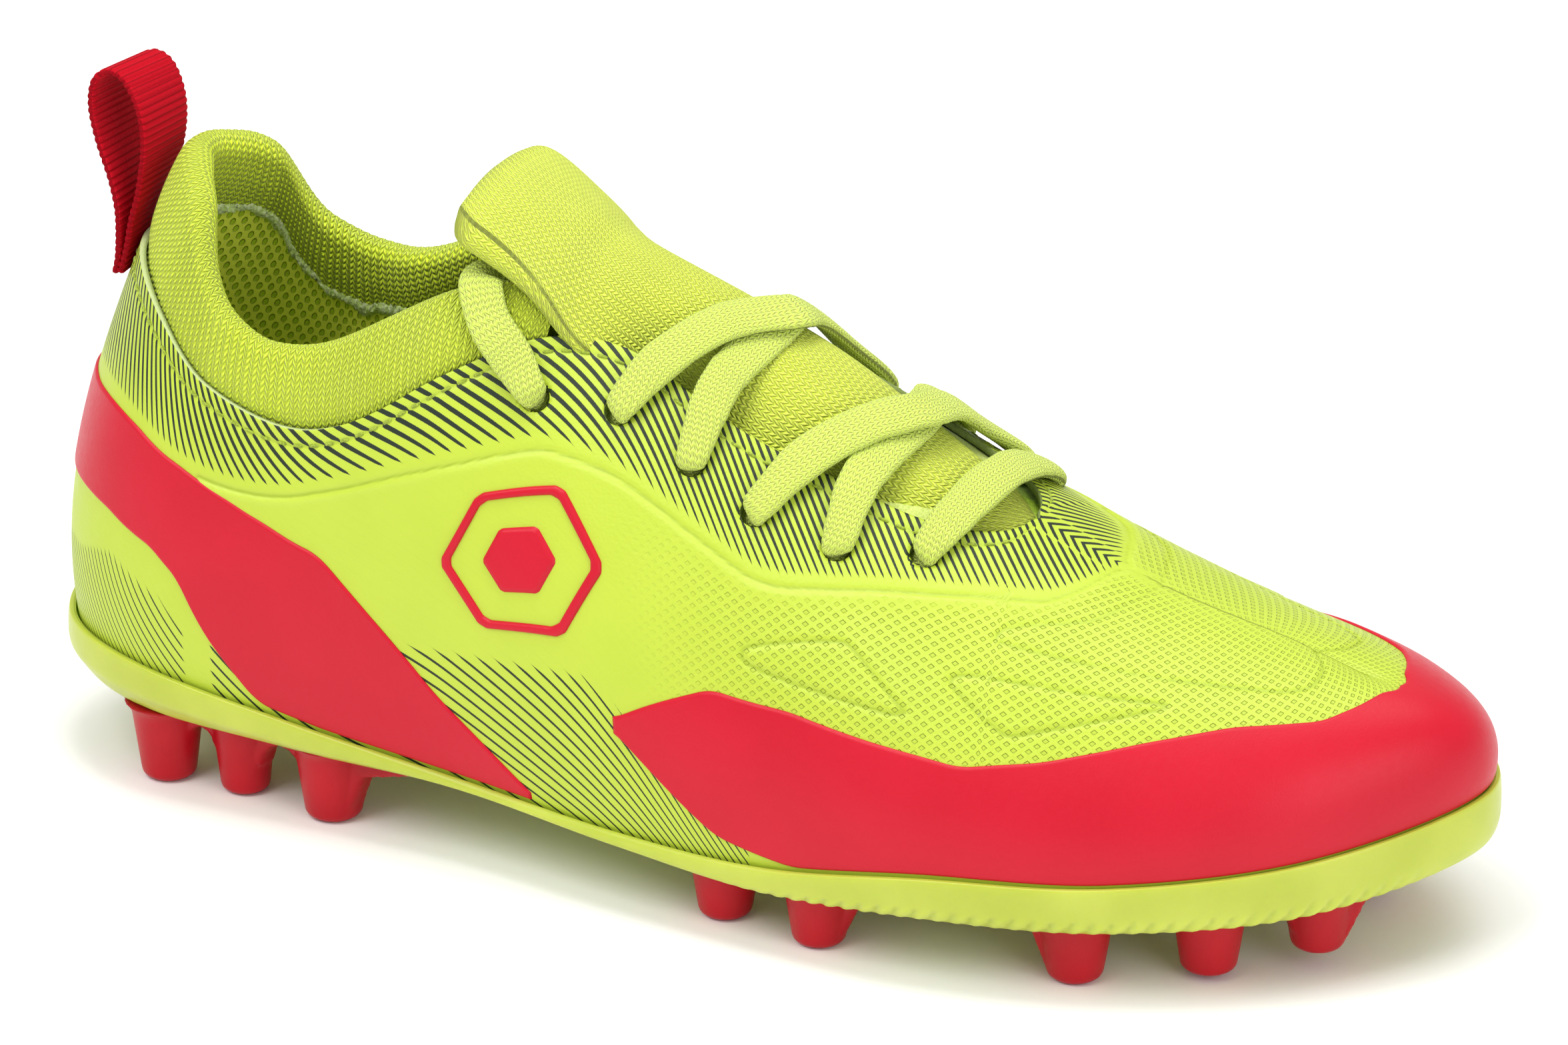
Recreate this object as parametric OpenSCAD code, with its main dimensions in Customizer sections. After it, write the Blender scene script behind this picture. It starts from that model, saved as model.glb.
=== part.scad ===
// Right football boot with a knitted collar, moulded studs and laces tucked under the tongue.
// +X points to the toe, -Y to the outer side of the foot, +Z up. Millimetres.

/* [Boot] */
// Length of the boot from heel to toe
boot_length = 250; // [225:1:275]

/* [Upper layers] */
// Thickness of the coated outer skin
skin_t = 1.2; // [1.0:0.1:1.3]
// Thickness of the heat-bonded red films
film_t = 0.5; // [0.3:0.1:0.6]
// Thickness of the vamp and heel linings
lining_t = 0.8; // [0.6:0.1:0.9]
// Thickness of the stiffeners between skin and lining
stiffener_t = 0.6; // [0.4:0.1:0.6]
// Air and glue left between two layers
layer_gap = 0.3; // [0.25:0.05:0.3]

/* [Collar and tongue] */
// Thickness of the padded knit collar, both walls and the foam
collar_t = 3.6; // [3.2:0.1:3.8]
// Thickness of each knit wall of the collar
knit_t = 0.8; // [0.6:0.1:0.9]
// Thickness of the padded tongue
tongue_t = 3.2; // [2.4:0.2:3.4]

/* [Lace and eyelets] */
// Width of the flat lace
lace_w = 7; // [6:0.5:7]
// Thickness of the flat lace
lace_t = 2; // [1.6:0.1:2]
// Radius of the twelve punched eyelets
eyelet_r = 2.6; // [2.5:0.1:2.8]

/* [Pull tab] */
// Width of the ribbed pull-tab webbing
tab_w = 12; // [10:1:13]
// Thickness of the webbing
tab_t = 1.1; // [0.9:0.1:1.1]
// How far the loop is turned towards the outer side at its top, in degrees
tab_turn = 15; // [0:1:16]

/* [Studs] */
// Radius of a stud at the ground
stud_r = 3.9; // [3.4:0.1:4.2]
// Radius of a stud where it leaves the plate
stud_root_r = 6; // [5.4:0.1:6.2]

/* [Hidden] */
design_length = 250;
unit = boot_length / design_length;
// Middle of the boot's box at the design length
middle_x = 125;
middle_y = -1.25;

// One row per station round the boot, from the back of the heel along the outer side to the toe and
// back along the inner side: bite line x y z, bulge and rise above it, top line x y z, spread and
// drop below it, sole wall corner z, sole bottom z, depth of the cup that holds the upper.
stations = [
    [1, 0, 25.5, 3.5, 30, 20, 0, 107.7, 12, 30, 17, 14, 6],
    [7, -18, 25.5, 4, 30, 28, -17, 102.5, 9, 28, 17, 13.5, 6],
    [24, -28, 24, 5, 26, 37, -25, 86.5, 3, 22, 16, 13.2, 6],
    [52, -30, 19.5, 5, 24, 54, -26, 83.5, 3, 20, 14.5, 12.5, 4],
    [84, -32, 15.7, 6, 26, 80, -18, 98.5, 14, 16, 13.8, 11.8, 1.8],
    [114, -38, 14.5, 5, 26, 108, 0, 97.5, 26, 1.5, 12, 10.8, 1.8],
    [142, -42.5, 15.2, 3, 24, 136, 0, 84.5, 26, 2, 10.6, 10, 2.6],
    [170, -44.5, 19.5, 2, 22, 164, 0, 69.5, 26, 3, 12.4, 10.5, 4.5],
    [200, -39, 20.8, 2, 18, 192, 0, 57.5, 23, 2, 12.8, 11, 5],
    [229, -24, 24, 3, 15, 216, 0, 51, 18, 1, 14.5, 13, 6],
    [249, 2, 28, 3, 12, 230, 0, 46.5, 13, 0, 18, 16.5, 6],
    [238, 26, 25.5, 3, 14, 216, 0, 51, 16, 2, 15, 13.5, 6],
    [214, 37.5, 21.5, 2, 16, 192, 0, 57.5, 22, 2, 13, 11, 5],
    [186, 42, 19, 2, 18, 164, 0, 69.5, 23, -1, 12.2, 10.5, 4.5],
    [156, 40, 17, 3, 22, 136, 0, 84.5, 22, -3, 11.4, 10, 3.4],
    [122, 33, 15.5, 5, 26, 108, 0, 97.5, 20, -1, 12, 10.8, 2],
    [88, 28, 16.5, 6, 26, 80, 18, 98.5, 13, 17, 13.8, 11.8, 2],
    [54, 28.5, 19.5, 5, 24, 54, 26, 83.5, 3, 20, 14.5, 12.5, 4],
    [24, 27, 24, 5, 26, 37, 25, 86.5, 3, 22, 16, 13.2, 6],
    [7, 17, 25.5, 4, 30, 28, 17, 102.5, 9, 28, 17, 13.5, 6]
];
count = len(stations);
half = count / 2;
// Columns of mesh round the whole boot
columns = 80;
step = count / columns;
tiny = 0.02;

// Upper edge of the skin, as a share of the height of the upper, at every half station from the heel
skin_edge = [0.81, 0.805, 0.805, 0.825, 0.845, 0.845, 0.81, 0.77, 0.79, 0.82, 0.79, 0.75, 0.76, 0.8, 0.91, 1];
// Station where the throat closes over the instep
throat_end = 7.25;
// How far the collar reaches down behind the skin, and the station where its front ends lie
collar_tuck = 0.12;
collar_end = 4.25;
// Station of the seam between the heel lining and the vamp lining
lining_seam = 3.75;

// Depth of each layer behind the outer face of the skin
stiffener_d = skin_t + layer_gap;
lining_d = stiffener_d + stiffener_t + layer_gap;
collar_d = skin_t + layer_gap;
foam_gap = 0.15;
foam_d = collar_d + knit_t + foam_gap;
foam_t = collar_t - 2 * (knit_t + foam_gap);

// Red film round the toe, and the one that sweeps down from the heel: station, lower and upper edge
rand = [
    [5.05, 0.2, 0.22], [5.3, 0.145, 0.26], [5.7, 0.055, 0.32], [6.2, 0.01, 0.325], [6.7, 0.01, 0.305],
    [7.2, 0.01, 0.28], [7.6, 0.01, 0.34], [8, 0.01, 0.43], [8.5, 0.01, 0.54], [9, 0.01, 0.58],
    [9.5, 0.01, 0.63], [10, 0.01, 0.68]
];
heel_band = [
    [0, 0.31, 0.52], [0.7, 0.32, 0.54], [1.5, 0.35, 0.59], [2, 0.34, 0.6], [2.25, 0.29, 0.59],
    [2.5, 0.15, 0.575], [2.8, 0.02, 0.54], [3.2, 0.01, 0.47], [3.5, 0.01, 0.34], [3.9, 0.01, 0.18],
    [4.5, 0.01, 0.05]
];

// Badge on the outer side: station and height of its middle, and its reach along and up
badge = [4.5, 0.44];
badge_reach = [0.52, 0.13];

// Eyelets of one side: station, and place across the throat (0 is its middle, 1 its outer edge)
eyelets = [[6.8, 0.77], [6.4, 1], [5.9, 1.05], [5.5, 1], [5, 0.92], [4.55, 0.86]];
// Share of the upper's height between the middle of the throat and place 1
throat_reach = 0.35;
// How many stations the lacing leads towards the toe on the inner side; it grows over the first
// stretch of the throat and fades over the last one
lacing_lead = 0.42;
lead_from = 4.6;
lead_full = 5;
lead_fades = 6;
lead_ends = 7.6;

// Route of the lace: station, place across the throat (minus is the outer side), height of its
// middle over the skin, and the run it lies in (1 starts a run, -1 ends one, 2 is inside an eyelet)
lace_route = [
    [6, -0.3, -11, 1], [5.5, -0.25, -12, 0], [5, -0.17, -12.5, 0], [4.62, -0.28, -11, 0],
    [4.45, -0.55, -9.2, 0],
    [4.3, -0.25, -7.4, 0], [4.12, 0, -4.6, 0], [4.08, -0.04, 0.9, 0],
    [4.2, -0.35, 1.7, 0], [4.38, -0.62, 1.5, 0],
    [4.55, -0.86, 1.3, -1], [4.55, -0.86, -1.6, 2], [4.57, -0.86, -4.5, 1],
    [4.78, -0.89, -4.6, 0],
    [4.98, -0.92, -4.5, -1], [5, -0.92, -1.6, 2], [5, -0.92, 1.3, 1],
    [5.07, -0.62, 2.2, 0], [5.15, -0.3, 4.2, 0], [5.24, 0, 5.4, 0],
    [5.33, 0.3, 4.2, 0], [5.42, 0.65, 2.2, 0],
    [5.5, 1, 1.3, -1], [5.5, 1, -1.6, 2], [5.52, 1, -4.5, 1],
    [5.7, 1.02, -4.6, 0],
    [5.88, 1.05, -4.5, -1], [5.9, 1.05, -1.6, 2], [5.9, 1.05, 1.3, 1],
    [6, 0.55, 2.2, 0], [6.14, 0, 2.9, 0], [6.28, -0.55, 2.2, 0],
    [6.4, -1, 1.3, -1], [6.4, -1, -1.6, 2], [6.42, -0.99, -4.5, 1],
    [6.6, -0.88, -4.6, 0],
    [6.78, -0.78, -4.5, -1], [6.8, -0.77, -1.6, 2], [6.8, -0.77, 1.3, 1],
    [6.82, -0.4, 2, 0], [6.83, 0, 2.4, 0], [6.82, 0.4, 2, 0],
    [6.8, 0.77, 1.3, -1], [6.8, 0.77, -1.6, 2], [6.78, 0.78, -4.5, 1],
    [6.6, 0.88, -4.6, 0],
    [6.42, 0.99, -4.5, -1], [6.4, 1, -1.6, 2], [6.4, 1, 1.3, 1],
    [6.3, 0.62, 2.2, 0], [6.22, 0.3, 4.2, 0], [6.14, 0, 5.4, 0],
    [6.06, -0.3, 4.2, 0], [5.98, -0.65, 2.2, 0],
    [5.9, -1.05, 1.3, -1], [5.9, -1.05, -1.6, 2], [5.88, -1.05, -4.5, 1],
    [5.7, -1.02, -4.6, 0],
    [5.52, -1, -4.5, -1], [5.5, -1, -1.6, 2], [5.5, -1, 1.3, 1],
    [5.38, -0.55, 2.2, 0], [5.24, 0, 2.9, 0], [5.12, 0.55, 2.2, 0],
    [5, 0.92, 1.3, -1], [5, 0.92, -1.6, 2], [4.98, 0.92, -4.5, 1],
    [4.78, 0.89, -4.6, 0],
    [4.57, 0.86, -4.5, -1], [4.55, 0.86, -1.6, 2], [4.55, 0.86, 1.3, 1],
    [4.38, 0.62, 1.5, 0], [4.2, 0.35, 1.7, 0],
    [4.08, 0.04, 0.9, 0], [4.12, 0, -4.6, 0], [4.3, 0.25, -7.4, 0],
    [4.45, 0.5, -9.6, 0],
    [4.62, 0.24, -11, 0], [5, 0.12, -12.5, 0], [5.5, 0.2, -12, 0], [6, 0.3, -11, -1]
];

// Sewn part of the tongue: stations of its root and its toe end, how far its sides reach under the
// skin, and how far its ridge stands above the skin's line and its toe end below it
base_from = 4.95;
base_to = 7.2;
base_tuck = 0.035;
base_rise = 0.8;
base_sink = 5;
base_sinks_from = 6.5;
// Shares of its half width between which it dips below the lining
base_dips = [0.15, 0.8];
base_rings = 10;
// Free flap of the tongue, narrow enough at its root to lift out between the eyestays: distance
// from the heel, height of its ridge, radius of its arch, half width along the arch
flap_rows = [
    [104.2, 97.6, 18, 12], [96, 102, 22, 15], [88, 106.2, 28, 17], [81, 109.6, 38, 18], [76.5, 111.2, 46, 18]
];

// Pull-tab loop, from its rear foot over the top to its front foot: x and z along the webbing
tab_path = [
    [8.9, 87.4], [9.8, 92], [10.4, 96.5], [9.9, 101.6], [8.1, 108.3], [7.3, 114], [8.2, 118.6], [10.9, 120.6],
    [13.6, 119.6], [15.5, 116.4], [16.5, 112], [16.3, 106.6], [14.8, 99.5], [13, 94.6], [11.6, 90.6],
    [10.3, 87.4]
];
tab_foot_z = 87.4;
tab_top_z = 120.6;

// Studs: x, y, height of the ground end, radius factor
heel_row = [[23.6, -19.5, 0, 1], [38, -19.7, 0, 0.88], [56, -23, 0, 1.05]];
arch_outer = [131, -32, 0, 0.95];
arch_inner = [133, 28, 0, 0.95];
ball_outer = [149, -35.5, 0, 0.95];
ball_inner = [158, 32.5, 0, 0.95];
forefoot_outer = [192, -31.5, 0, 1];
forefoot_inner = [196, 31, 0, 1];
toe_outer = [[211.7, -22.5, 1, 1], [227, -13, 3.5, 0.95]];
toe_inner = [[213.7, 22.5, 1, 1], [229, 13, 3.5, 0.95]];
centre_pair = [[170, -6, 0, 0.85], [188, 8, 0, 0.85]];
// Heights inside the plate where the studs of each group end
heel_top = 14.5;
arch_top = 12;
forefoot_top = 12.5;
centre_top = 11.5;
toe_tops = [14, 15.5];
// Rounding of a stud's ground end, and the flare of its root
stud_round = 0.8;
stud_neck = 2;
stud_waist = 0.6;
stud_flare = 0.8;
// Thickness of the webs between studs and of the fins beside them
fin_t = 4;
fin_foot = 1;
fin_shoulder = 4;
web_gap = 0.4;
heel_web_low = [8, 6];
toe_web = [7.5, 13.5];
fin_turn = 8;
heel_fin = [1.4, 18];
ball_fin = [10, 13];
forefoot_fin = [184, 14];
toe_fin = [32, 12];

// ---- The shape of the boot ----

function wrap(i) = (i % count + count) % count;
function through(a, b, c, d, t) =
    0.5 * (2 * b + (c - a) * t + (2 * a - 5 * b + 4 * c - d) * t * t + (3 * b - a - 3 * c + d) * t * t * t);
function station(k) =
    let (i = floor(k), t = k - i)
    through(stations[wrap(i - 1)], stations[wrap(i)], stations[wrap(i + 1)], stations[wrap(i + 2)], t);
function across(k) =
    let (d = station(k + tiny) - station(k - tiny), l = norm([d[0], d[1]]))
    [d[1] / l, -d[0] / l, 0];
// Point of the skin's outer face at station k, from the bite line (v = 0) to the top line (v = 1)
function face(k, v) =
    let (s = station(k), o = across(k), w = 1 - v,
         low = [s[0], s[1], s[2]],
         top = [s[5], s[6], s[7]],
         rise = low + o * s[3] + [0, 0, s[4]],
         drop = top + o * s[8] - [0, 0, s[9]])
    w * w * w * low + 3 * w * w * v * rise + 3 * w * v * v * drop + v * v * v * top;
function inward(k, v) =
    let (u = min(v, 1 - tiny),
         a = face(k + tiny, u) - face(k - tiny, u),
         b = face(k, u + tiny) - face(k, u - tiny),
         c = cross(b, a))
    c / norm(c);
// Point at depth d behind the outer face
function layer(k, v, d) = face(k, v) + inward(k, v) * d;
// Point of a loop round the sole: the bite line moved outwards, at a height of its own
function rim(k, out, z) = let (s = station(k), o = across(k)) [s[0] + o[0] * out, s[1] + o[1] * out, z];
function side(k) = let (w = k - count * floor(k / count)) min(w, count - w);
function edge_height(k) =
    let (f = side(k) * 2, i = floor(f))
    side(k) >= throat_end ? 1 : skin_edge[i] + (skin_edge[i + 1] - skin_edge[i]) * (f - i);
function table(rows, k, c) =
    let (n = len(rows), s = side(k),
         i = max([0, for (j = [0:n - 2]) if (rows[j][0] <= s) j]),
         t = min(1, (s - rows[i][0]) / (rows[i + 1][0] - rows[i][0])))
    rows[i][c] + (rows[i + 1][c] - rows[i][c]) * t;

// ---- Solids made from rows of points ----

module place() {
    scale(unit) translate([-middle_x, -middle_y, 0]) children();
}

// Faces of a closed band of quads between two loops of n points, as triangles
function band(n, a, b) = [
    for (i = [0:n - 1])
        let (j = (i + 1) % n)
        each [[a + i, b + i, b + j], [a + i, b + j, a + j]]
];
// Cap over a loop of n points, laid in rungs from side to side
function ladder(n, a) = [
    for (i = [0:n / 2 - 1])
        let (p = a + i, q = a + i + 1, r = a + (n - i) % n, s = a + n - i - 1)
        each [if (p != r) [p, q, r], if (q != s) [q, s, r]]
];
function turned(faces) = [for (f = faces) [f[0], f[2], f[1]]];

// Solid between the first and last of several loops
module stack(loops) {
    n = len(loops[0]);
    m = len(loops);
    polyhedron(
        points = [for (l = loops) each l],
        faces = [
            for (j = [0:m - 2]) each band(n, j * n, (j + 1) * n),
            each ladder(n, 0),
            each turned(ladder(n, (m - 1) * n))
        ]);
}

// Ring whose section is a closed row of loops
module ring(loops) {
    n = len(loops[0]);
    m = len(loops);
    polyhedron(
        points = [for (l = loops) each l],
        faces = [for (j = [0:m - 1]) each band(n, j * n, ((j + 1) % m) * n)]);
}

function loop(out, height) = [for (i = [0:columns - 1]) rim(i * step, out, height(station(i * step)))];

// Sheet that follows the upper. cols holds one [station, low, high] per column; columns whose high is
// 1 past the end of the throat are joined to their partners on the other side.
module sheet(cols, rows, depth, thick, closed = false, joined = false) {
    n = len(cols);
    m = rows + 1;
    partner = function(i) closed ? (n - i) % n : n - 1 - i;
    shut = function(i) joined && side(cols[i][0]) >= throat_end - tiny;
    outer = function(i, j) (j == rows && shut(i) && i > partner(i)) ? partner(i) * m + j : i * m + j;
    inner = function(i, j) n * m + outer(i, j);
    spot = function(i, j, d)
        let (c = cols[i], v = c[1] + (c[2] - c[1]) * j / rows)
        (j == rows && shut(i))
            ? (layer(c[0], v, d) + layer(count - c[0], v, d)) / 2
            : layer(c[0], v, d);
    cells = closed ? n : n - 1;
    polyhedron(
        points = [
            for (d = [depth, depth + thick]) for (i = [0:n - 1]) for (j = [0:rows]) spot(i, j, d)
        ],
        faces = [
            for (i = [0:cells - 1]) for (j = [0:rows - 1])
                let (k = (i + 1) % n)
                each [
                    [outer(i, j), outer(k, j + 1), outer(k, j)],
                    [outer(i, j), outer(i, j + 1), outer(k, j + 1)],
                    [inner(i, j), inner(k, j), inner(k, j + 1)],
                    [inner(i, j), inner(k, j + 1), inner(i, j + 1)]
                ],
            for (i = [0:cells - 1])
                let (k = (i + 1) % n)
                each [
                    [outer(i, 0), outer(k, 0), inner(k, 0)],
                    [outer(i, 0), inner(k, 0), inner(i, 0)],
                    if (!(shut(i) && shut(k))) [outer(k, rows), outer(i, rows), inner(i, rows)],
                    if (!(shut(i) && shut(k))) [outer(k, rows), inner(i, rows), inner(k, rows)]
                ],
            if (!closed) for (j = [0:rows - 1])
                each [
                    [outer(0, j + 1), outer(0, j), inner(0, j)],
                    [outer(0, j + 1), inner(0, j), inner(0, j + 1)],
                    [outer(n - 1, j), outer(n - 1, j + 1), inner(n - 1, j + 1)],
                    [outer(n - 1, j), inner(n - 1, j + 1), inner(n - 1, j)]
                ]
        ]);
}

// Solid between rows of rings that all have the same number of points
module skein(rings) {
    n = len(rings[0]);
    m = len(rings);
    polyhedron(
        points = [for (r = rings) each r],
        faces = [
            for (j = [0:m - 2]) each band(n, j * n, (j + 1) * n),
            for (i = [1:n - 2]) [0, i, i + 1],
            for (i = [1:n - 2]) [(m - 1) * n, (m - 1) * n + i + 1, (m - 1) * n + i]
        ]);
}

// ---- Sole ----

plate_inset = [-6, -1.4, 1.1, 1.5];
cup_clear = 0.35;
cup_top = function(s) s[2] - s[12];

module outsole_body() {
    difference() {
        stack([
            loop(plate_inset[0], function(s) s[11]),
            loop(plate_inset[1], function(s) 0.5 * (s[10] + s[11])),
            loop(plate_inset[2], function(s) s[10] + 0.3 * (s[2] - s[10])),
            loop(plate_inset[3], function(s) s[2])
        ]);
        stack([
            loop(cup_clear, cup_top),
            loop(cup_clear, function(s) s[2] + 5)
        ]);
    }
}

module outsole_plate() {
    color("greenyellow") place() outsole_body();
}

// Moulded stud that ends inside the plate at height top
module stud(p, top) {
    r = stud_r * p[3];
    root = stud_root_r * p[3];
    translate([p[0], p[1], p[2]])
        rotate_extrude($fn = 48)
            polygon([
                [0, 0], [r - stud_round, 0], [r, stud_round],
                [root - stud_waist, top - p[2] - stud_neck], [root + stud_flare, top - p[2]], [0, top - p[2]]
            ]);
}

module upright(p, angle) {
    translate([p[0], p[1], 0])
        rotate([0, 0, angle])
            translate([0, fin_t / 2, 0])
                rotate([90, 0, 0])
                    linear_extrude(fin_t) children();
}

// Upright web between two studs, arched from below
module web(a, b, low, top) {
    span = norm([b[0] - a[0], b[1] - a[1]]);
    upright(a, atan2(b[1] - a[1], b[0] - a[0]))
        difference() {
            translate([0, low]) square([span, top - low]);
            translate([span / 2, low]) circle(r = span / 2 - stud_r - web_gap, $fn = 32);
        }
}

// Fin that runs from a stud's flank along the plate, towards an angle
module fin(p, top, angle, reach) {
    low = p[2] + fin_foot;
    upright(p, angle)
        polygon([
            [0, low], [stud_r, low + 1], [stud_root_r + stud_waist, top - fin_shoulder],
            [reach, top - 1], [reach, top], [0, top]
        ]);
}

function across_boot(p, s) = [p[0], s * p[1], p[2], p[3]];

// The three heel studs of one side; s is 1 on the outer side and -1 on the inner
module heel_group(s) {
    row = [for (p = heel_row) across_boot(p, s)];
    for (p = row) stud(p, heel_top);
    for (i = [0:1]) web(row[i], row[i + 1], heel_web_low[i], heel_top);
    fin(row[2], heel_top - heel_fin[0], -s * fin_turn, heel_fin[1]);
}

module heel_studs_outer() {
    color("crimson") place() heel_group(1);
}

module heel_studs_inner() {
    color("crimson") place() heel_group(-1);
}

module arch_stud_outer() {
    color("crimson") place() stud(arch_outer, arch_top);
}

module arch_stud_inner() {
    color("crimson") place() stud(arch_inner, arch_top);
}

module finned_stud(p, top, angle, reach) {
    stud(p, top);
    fin(p, top, angle, reach);
}

module ball_stud_outer() {
    color("crimson") place() finned_stud(ball_outer, arch_top, ball_fin[0], ball_fin[1]);
}

module ball_stud_inner() {
    color("crimson") place() finned_stud(ball_inner, arch_top, -ball_fin[0], ball_fin[1]);
}

module forefoot_stud_outer() {
    color("crimson") place() finned_stud(forefoot_outer, forefoot_top, forefoot_fin[0], forefoot_fin[1]);
}

module forefoot_stud_inner() {
    color("crimson") place() finned_stud(forefoot_inner, forefoot_top, -forefoot_fin[0], forefoot_fin[1]);
}

module toe_group(row, angle) {
    for (i = [0:1]) stud(row[i], toe_tops[i]);
    web(row[0], row[1], toe_web[0], toe_web[1]);
    fin(row[1], toe_tops[1], angle, toe_fin[1]);
}

module toe_studs_outer() {
    color("crimson") place() toe_group(toe_outer, toe_fin[0]);
}

module toe_studs_inner() {
    color("crimson") place() toe_group(toe_inner, -toe_fin[0]);
}

module centre_studs() {
    color("crimson") place()
        for (p = centre_pair) stud(p, centre_top);
}

board_z = [1.9, 3.5];
board_inset = -5;
liner_z = [3.9, 7.4];
liner_inset = -4.6;

module insole_board() {
    color("tan") place()
        stack([for (z = board_z) loop(board_inset, function(s) cup_top(s) + z)]);
}

module sockliner() {
    color("darkolivegreen") place()
        stack([for (z = liner_z) loop(liner_inset, function(s) cup_top(s) + z)]);
}

// ---- Upper ----

upper_rows = 8;
// Height of the skin's foot above the cup's floor, and the flange glued under the insole board
skin_foot = 0.6;
flange = [-1, -8];
flange_z = [0.3, 1.3];
function foot_share(k, above) = let (s = station(k)) (above - s[12]) / (3 * s[4]);

module skin_shell() {
    sheet([for (i = [0:columns - 1]) let (k = i * step) [k, foot_share(k, skin_foot), edge_height(k)]],
          upper_rows, 0, skin_t, closed = true, joined = true);
    ring([
        loop(flange[0], function(s) cup_top(s) + flange_z[0]),
        loop(flange[0], function(s) cup_top(s) + flange_z[1]),
        loop(flange[1], function(s) cup_top(s) + flange_z[1]),
        loop(flange[1], function(s) cup_top(s) + flange_z[0])
    ]);
}

function share(x, from, to) = min(1, max(0, (x - from) / (to - from)));
function lead(k) = lacing_lead * share(k, lead_from, lead_full) * share(k, lead_ends, lead_fades);
function throat(k, q) =
    let (u = k + lead(k) * share(q, -1, 0))
    q <= 0 ? [u, 1 + throat_reach * q] : [count - u, 1 - throat_reach * q];

// Length of an eyelet's cutter, and how far it starts outside the skin
punch_l = 10;
punch_out = 3;

// The twelve eyelet holes, through every layer
module eyelet_holes() {
    for (s = [-1, 1]) for (e = eyelets) {
        p = throat(e[0], s * e[1]);
        n = inward(p[0], p[1]);
        translate(face(p[0], p[1]) - n * punch_out)
            rotate([0, acos(n[2]), atan2(n[1], n[0])])
                cylinder(h = punch_l, r = eyelet_r, $fn = 16);
    }
}

module skin_upper() {
    color("yellowgreen") place()
        difference() {
            skin_shell();
            eyelet_holes();
        }
}

film_gap = 0.15;
film_d = -film_t - film_gap;

function both(rows) = concat(
    [for (r = rows) r],
    [for (i = [len(rows) - 1:-1:0]) if (rows[i][0] < half) [count - rows[i][0], rows[i][1], rows[i][2]]]);
function round_heel(rows) = concat(
    [for (i = [len(rows) - 1:-1:1]) [count - rows[i][0], rows[i][1], rows[i][2]]],
    [for (r = rows) [count + r[0], r[1], r[2]]]);
// Splits each stretch of a table into columns no further apart than the boot's own
function finer(rows) = [
    for (i = [0:len(rows) - 2])
        let (a = rows[i], b = rows[i + 1], n = ceil((b[0] - a[0]) / step))
        for (j = [0:n - 1]) a + (b - a) * j / n,
    rows[len(rows) - 1]
];

module toe_film() {
    color("crimson") place() sheet(finer(both(rand)), 4, film_d, film_t);
}

module heel_band_film() {
    color("crimson") place() sheet(finer(round_heel(heel_band)), 4, film_d, film_t);
}

badge_sides = 6;
badge_points = 36;
// Inner edge of the badge's ring and edge of its middle, as shares of its reach
badge_inner = 0.88;
badge_middle = 0.45;
function hex_reach(a) = cos(180 / badge_sides) / cos((a % (360 / badge_sides)) - 180 / badge_sides);
function badge_spot(a, r, d) =
    layer(badge[0] + badge_reach[0] * r * cos(a), badge[1] + badge_reach[1] * r * sin(a), d);
function badge_loop(r, d) = [
    for (i = [0:badge_points - 1]) let (a = i * 360 / badge_points) badge_spot(a, r * hex_reach(a), d)
];

module badge_ring() {
    color("crimson") place()
        ring([
            badge_loop(1, film_d), badge_loop(badge_inner, film_d),
            badge_loop(badge_inner, -film_gap), badge_loop(1, -film_gap)
        ]);
}

module badge_core() {
    color("crimson") place()
        stack([badge_loop(badge_middle, -film_gap), badge_loop(badge_middle, film_d)]);
}

module toe_puff() {
    color("silver") place()
        sheet([for (k = [8.5:step:11.5]) [k, 0.03, 0.8]], 6, stiffener_d, stiffener_t);
}

module heel_counter() {
    color("silver") place()
        sheet([for (k = [-2.5:step:2.5]) [k + count, 0.02, 0.55]], 6, stiffener_d, stiffener_t);
}

backer_from = 4.5;
backer_to = 7;
backer_low = 0.56;

module backer(from, to) {
    difference() {
        sheet([for (k = [from:step:to]) [k, backer_low, edge_height(k) - 0.01]], 4, stiffener_d, stiffener_t);
        eyelet_holes();
    }
}

module eyestay_backer_outer() {
    color("gold") place() backer(backer_from, backer_to);
}

module eyestay_backer_inner() {
    color("gold") place() backer(count - backer_to, count - backer_from);
}

lining_foot = 3.9;
// The vamp lining stays below the collar's front ends and just short of the throat's edge
function lining_top(k) =
    side(k) <= collar_end ? edge_height(k) - collar_tuck - 0.02
    : side(k) < throat_end ? edge_height(k) - 0.01
    : 1;

module vamp_lining() {
    color("khaki") place()
        difference() {
            sheet([for (k = [lining_seam + step:step:count - lining_seam - step])
                      [k, foot_share(k, lining_foot), lining_top(k)]],
                  upper_rows, lining_d, lining_t, joined = true);
            eyelet_holes();
        }
}

module heel_lining() {
    color("yellowgreen") place()
        sheet([for (k = [-lining_seam:step:lining_seam])
                  [k + count, foot_share(k, lining_foot), edge_height(k) - collar_tuck - 0.02]],
              7, lining_d, lining_t);
}

// Tops of the knit and of the foam at the heel, as shares of the upper's height, and how much lower
// they are at the collar's front ends
knit_crown = 1.02;
foam_crown = 0.97;
crown_drop = 0.05;
crown_drops = [3, 4];

module collar_sheet(low, high, depth, thick) {
    sheet([for (k = [-collar_end:step:collar_end])
              [k + count,
               edge_height(k) - collar_tuck - low,
               high - crown_drop * share(side(k), crown_drops[0], crown_drops[1])]],
          6, depth, thick);
}

module collar_knit() {
    color("greenyellow") place()
        difference() {
            collar_sheet(0, knit_crown, collar_d, collar_t);
            collar_sheet(0.03, foam_crown + 0.01, collar_d + knit_t, collar_t - 2 * knit_t);
        }
}

module collar_foam() {
    color("ivory") place() collar_sheet(0, foam_crown, foam_d, foam_t);
}

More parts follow.
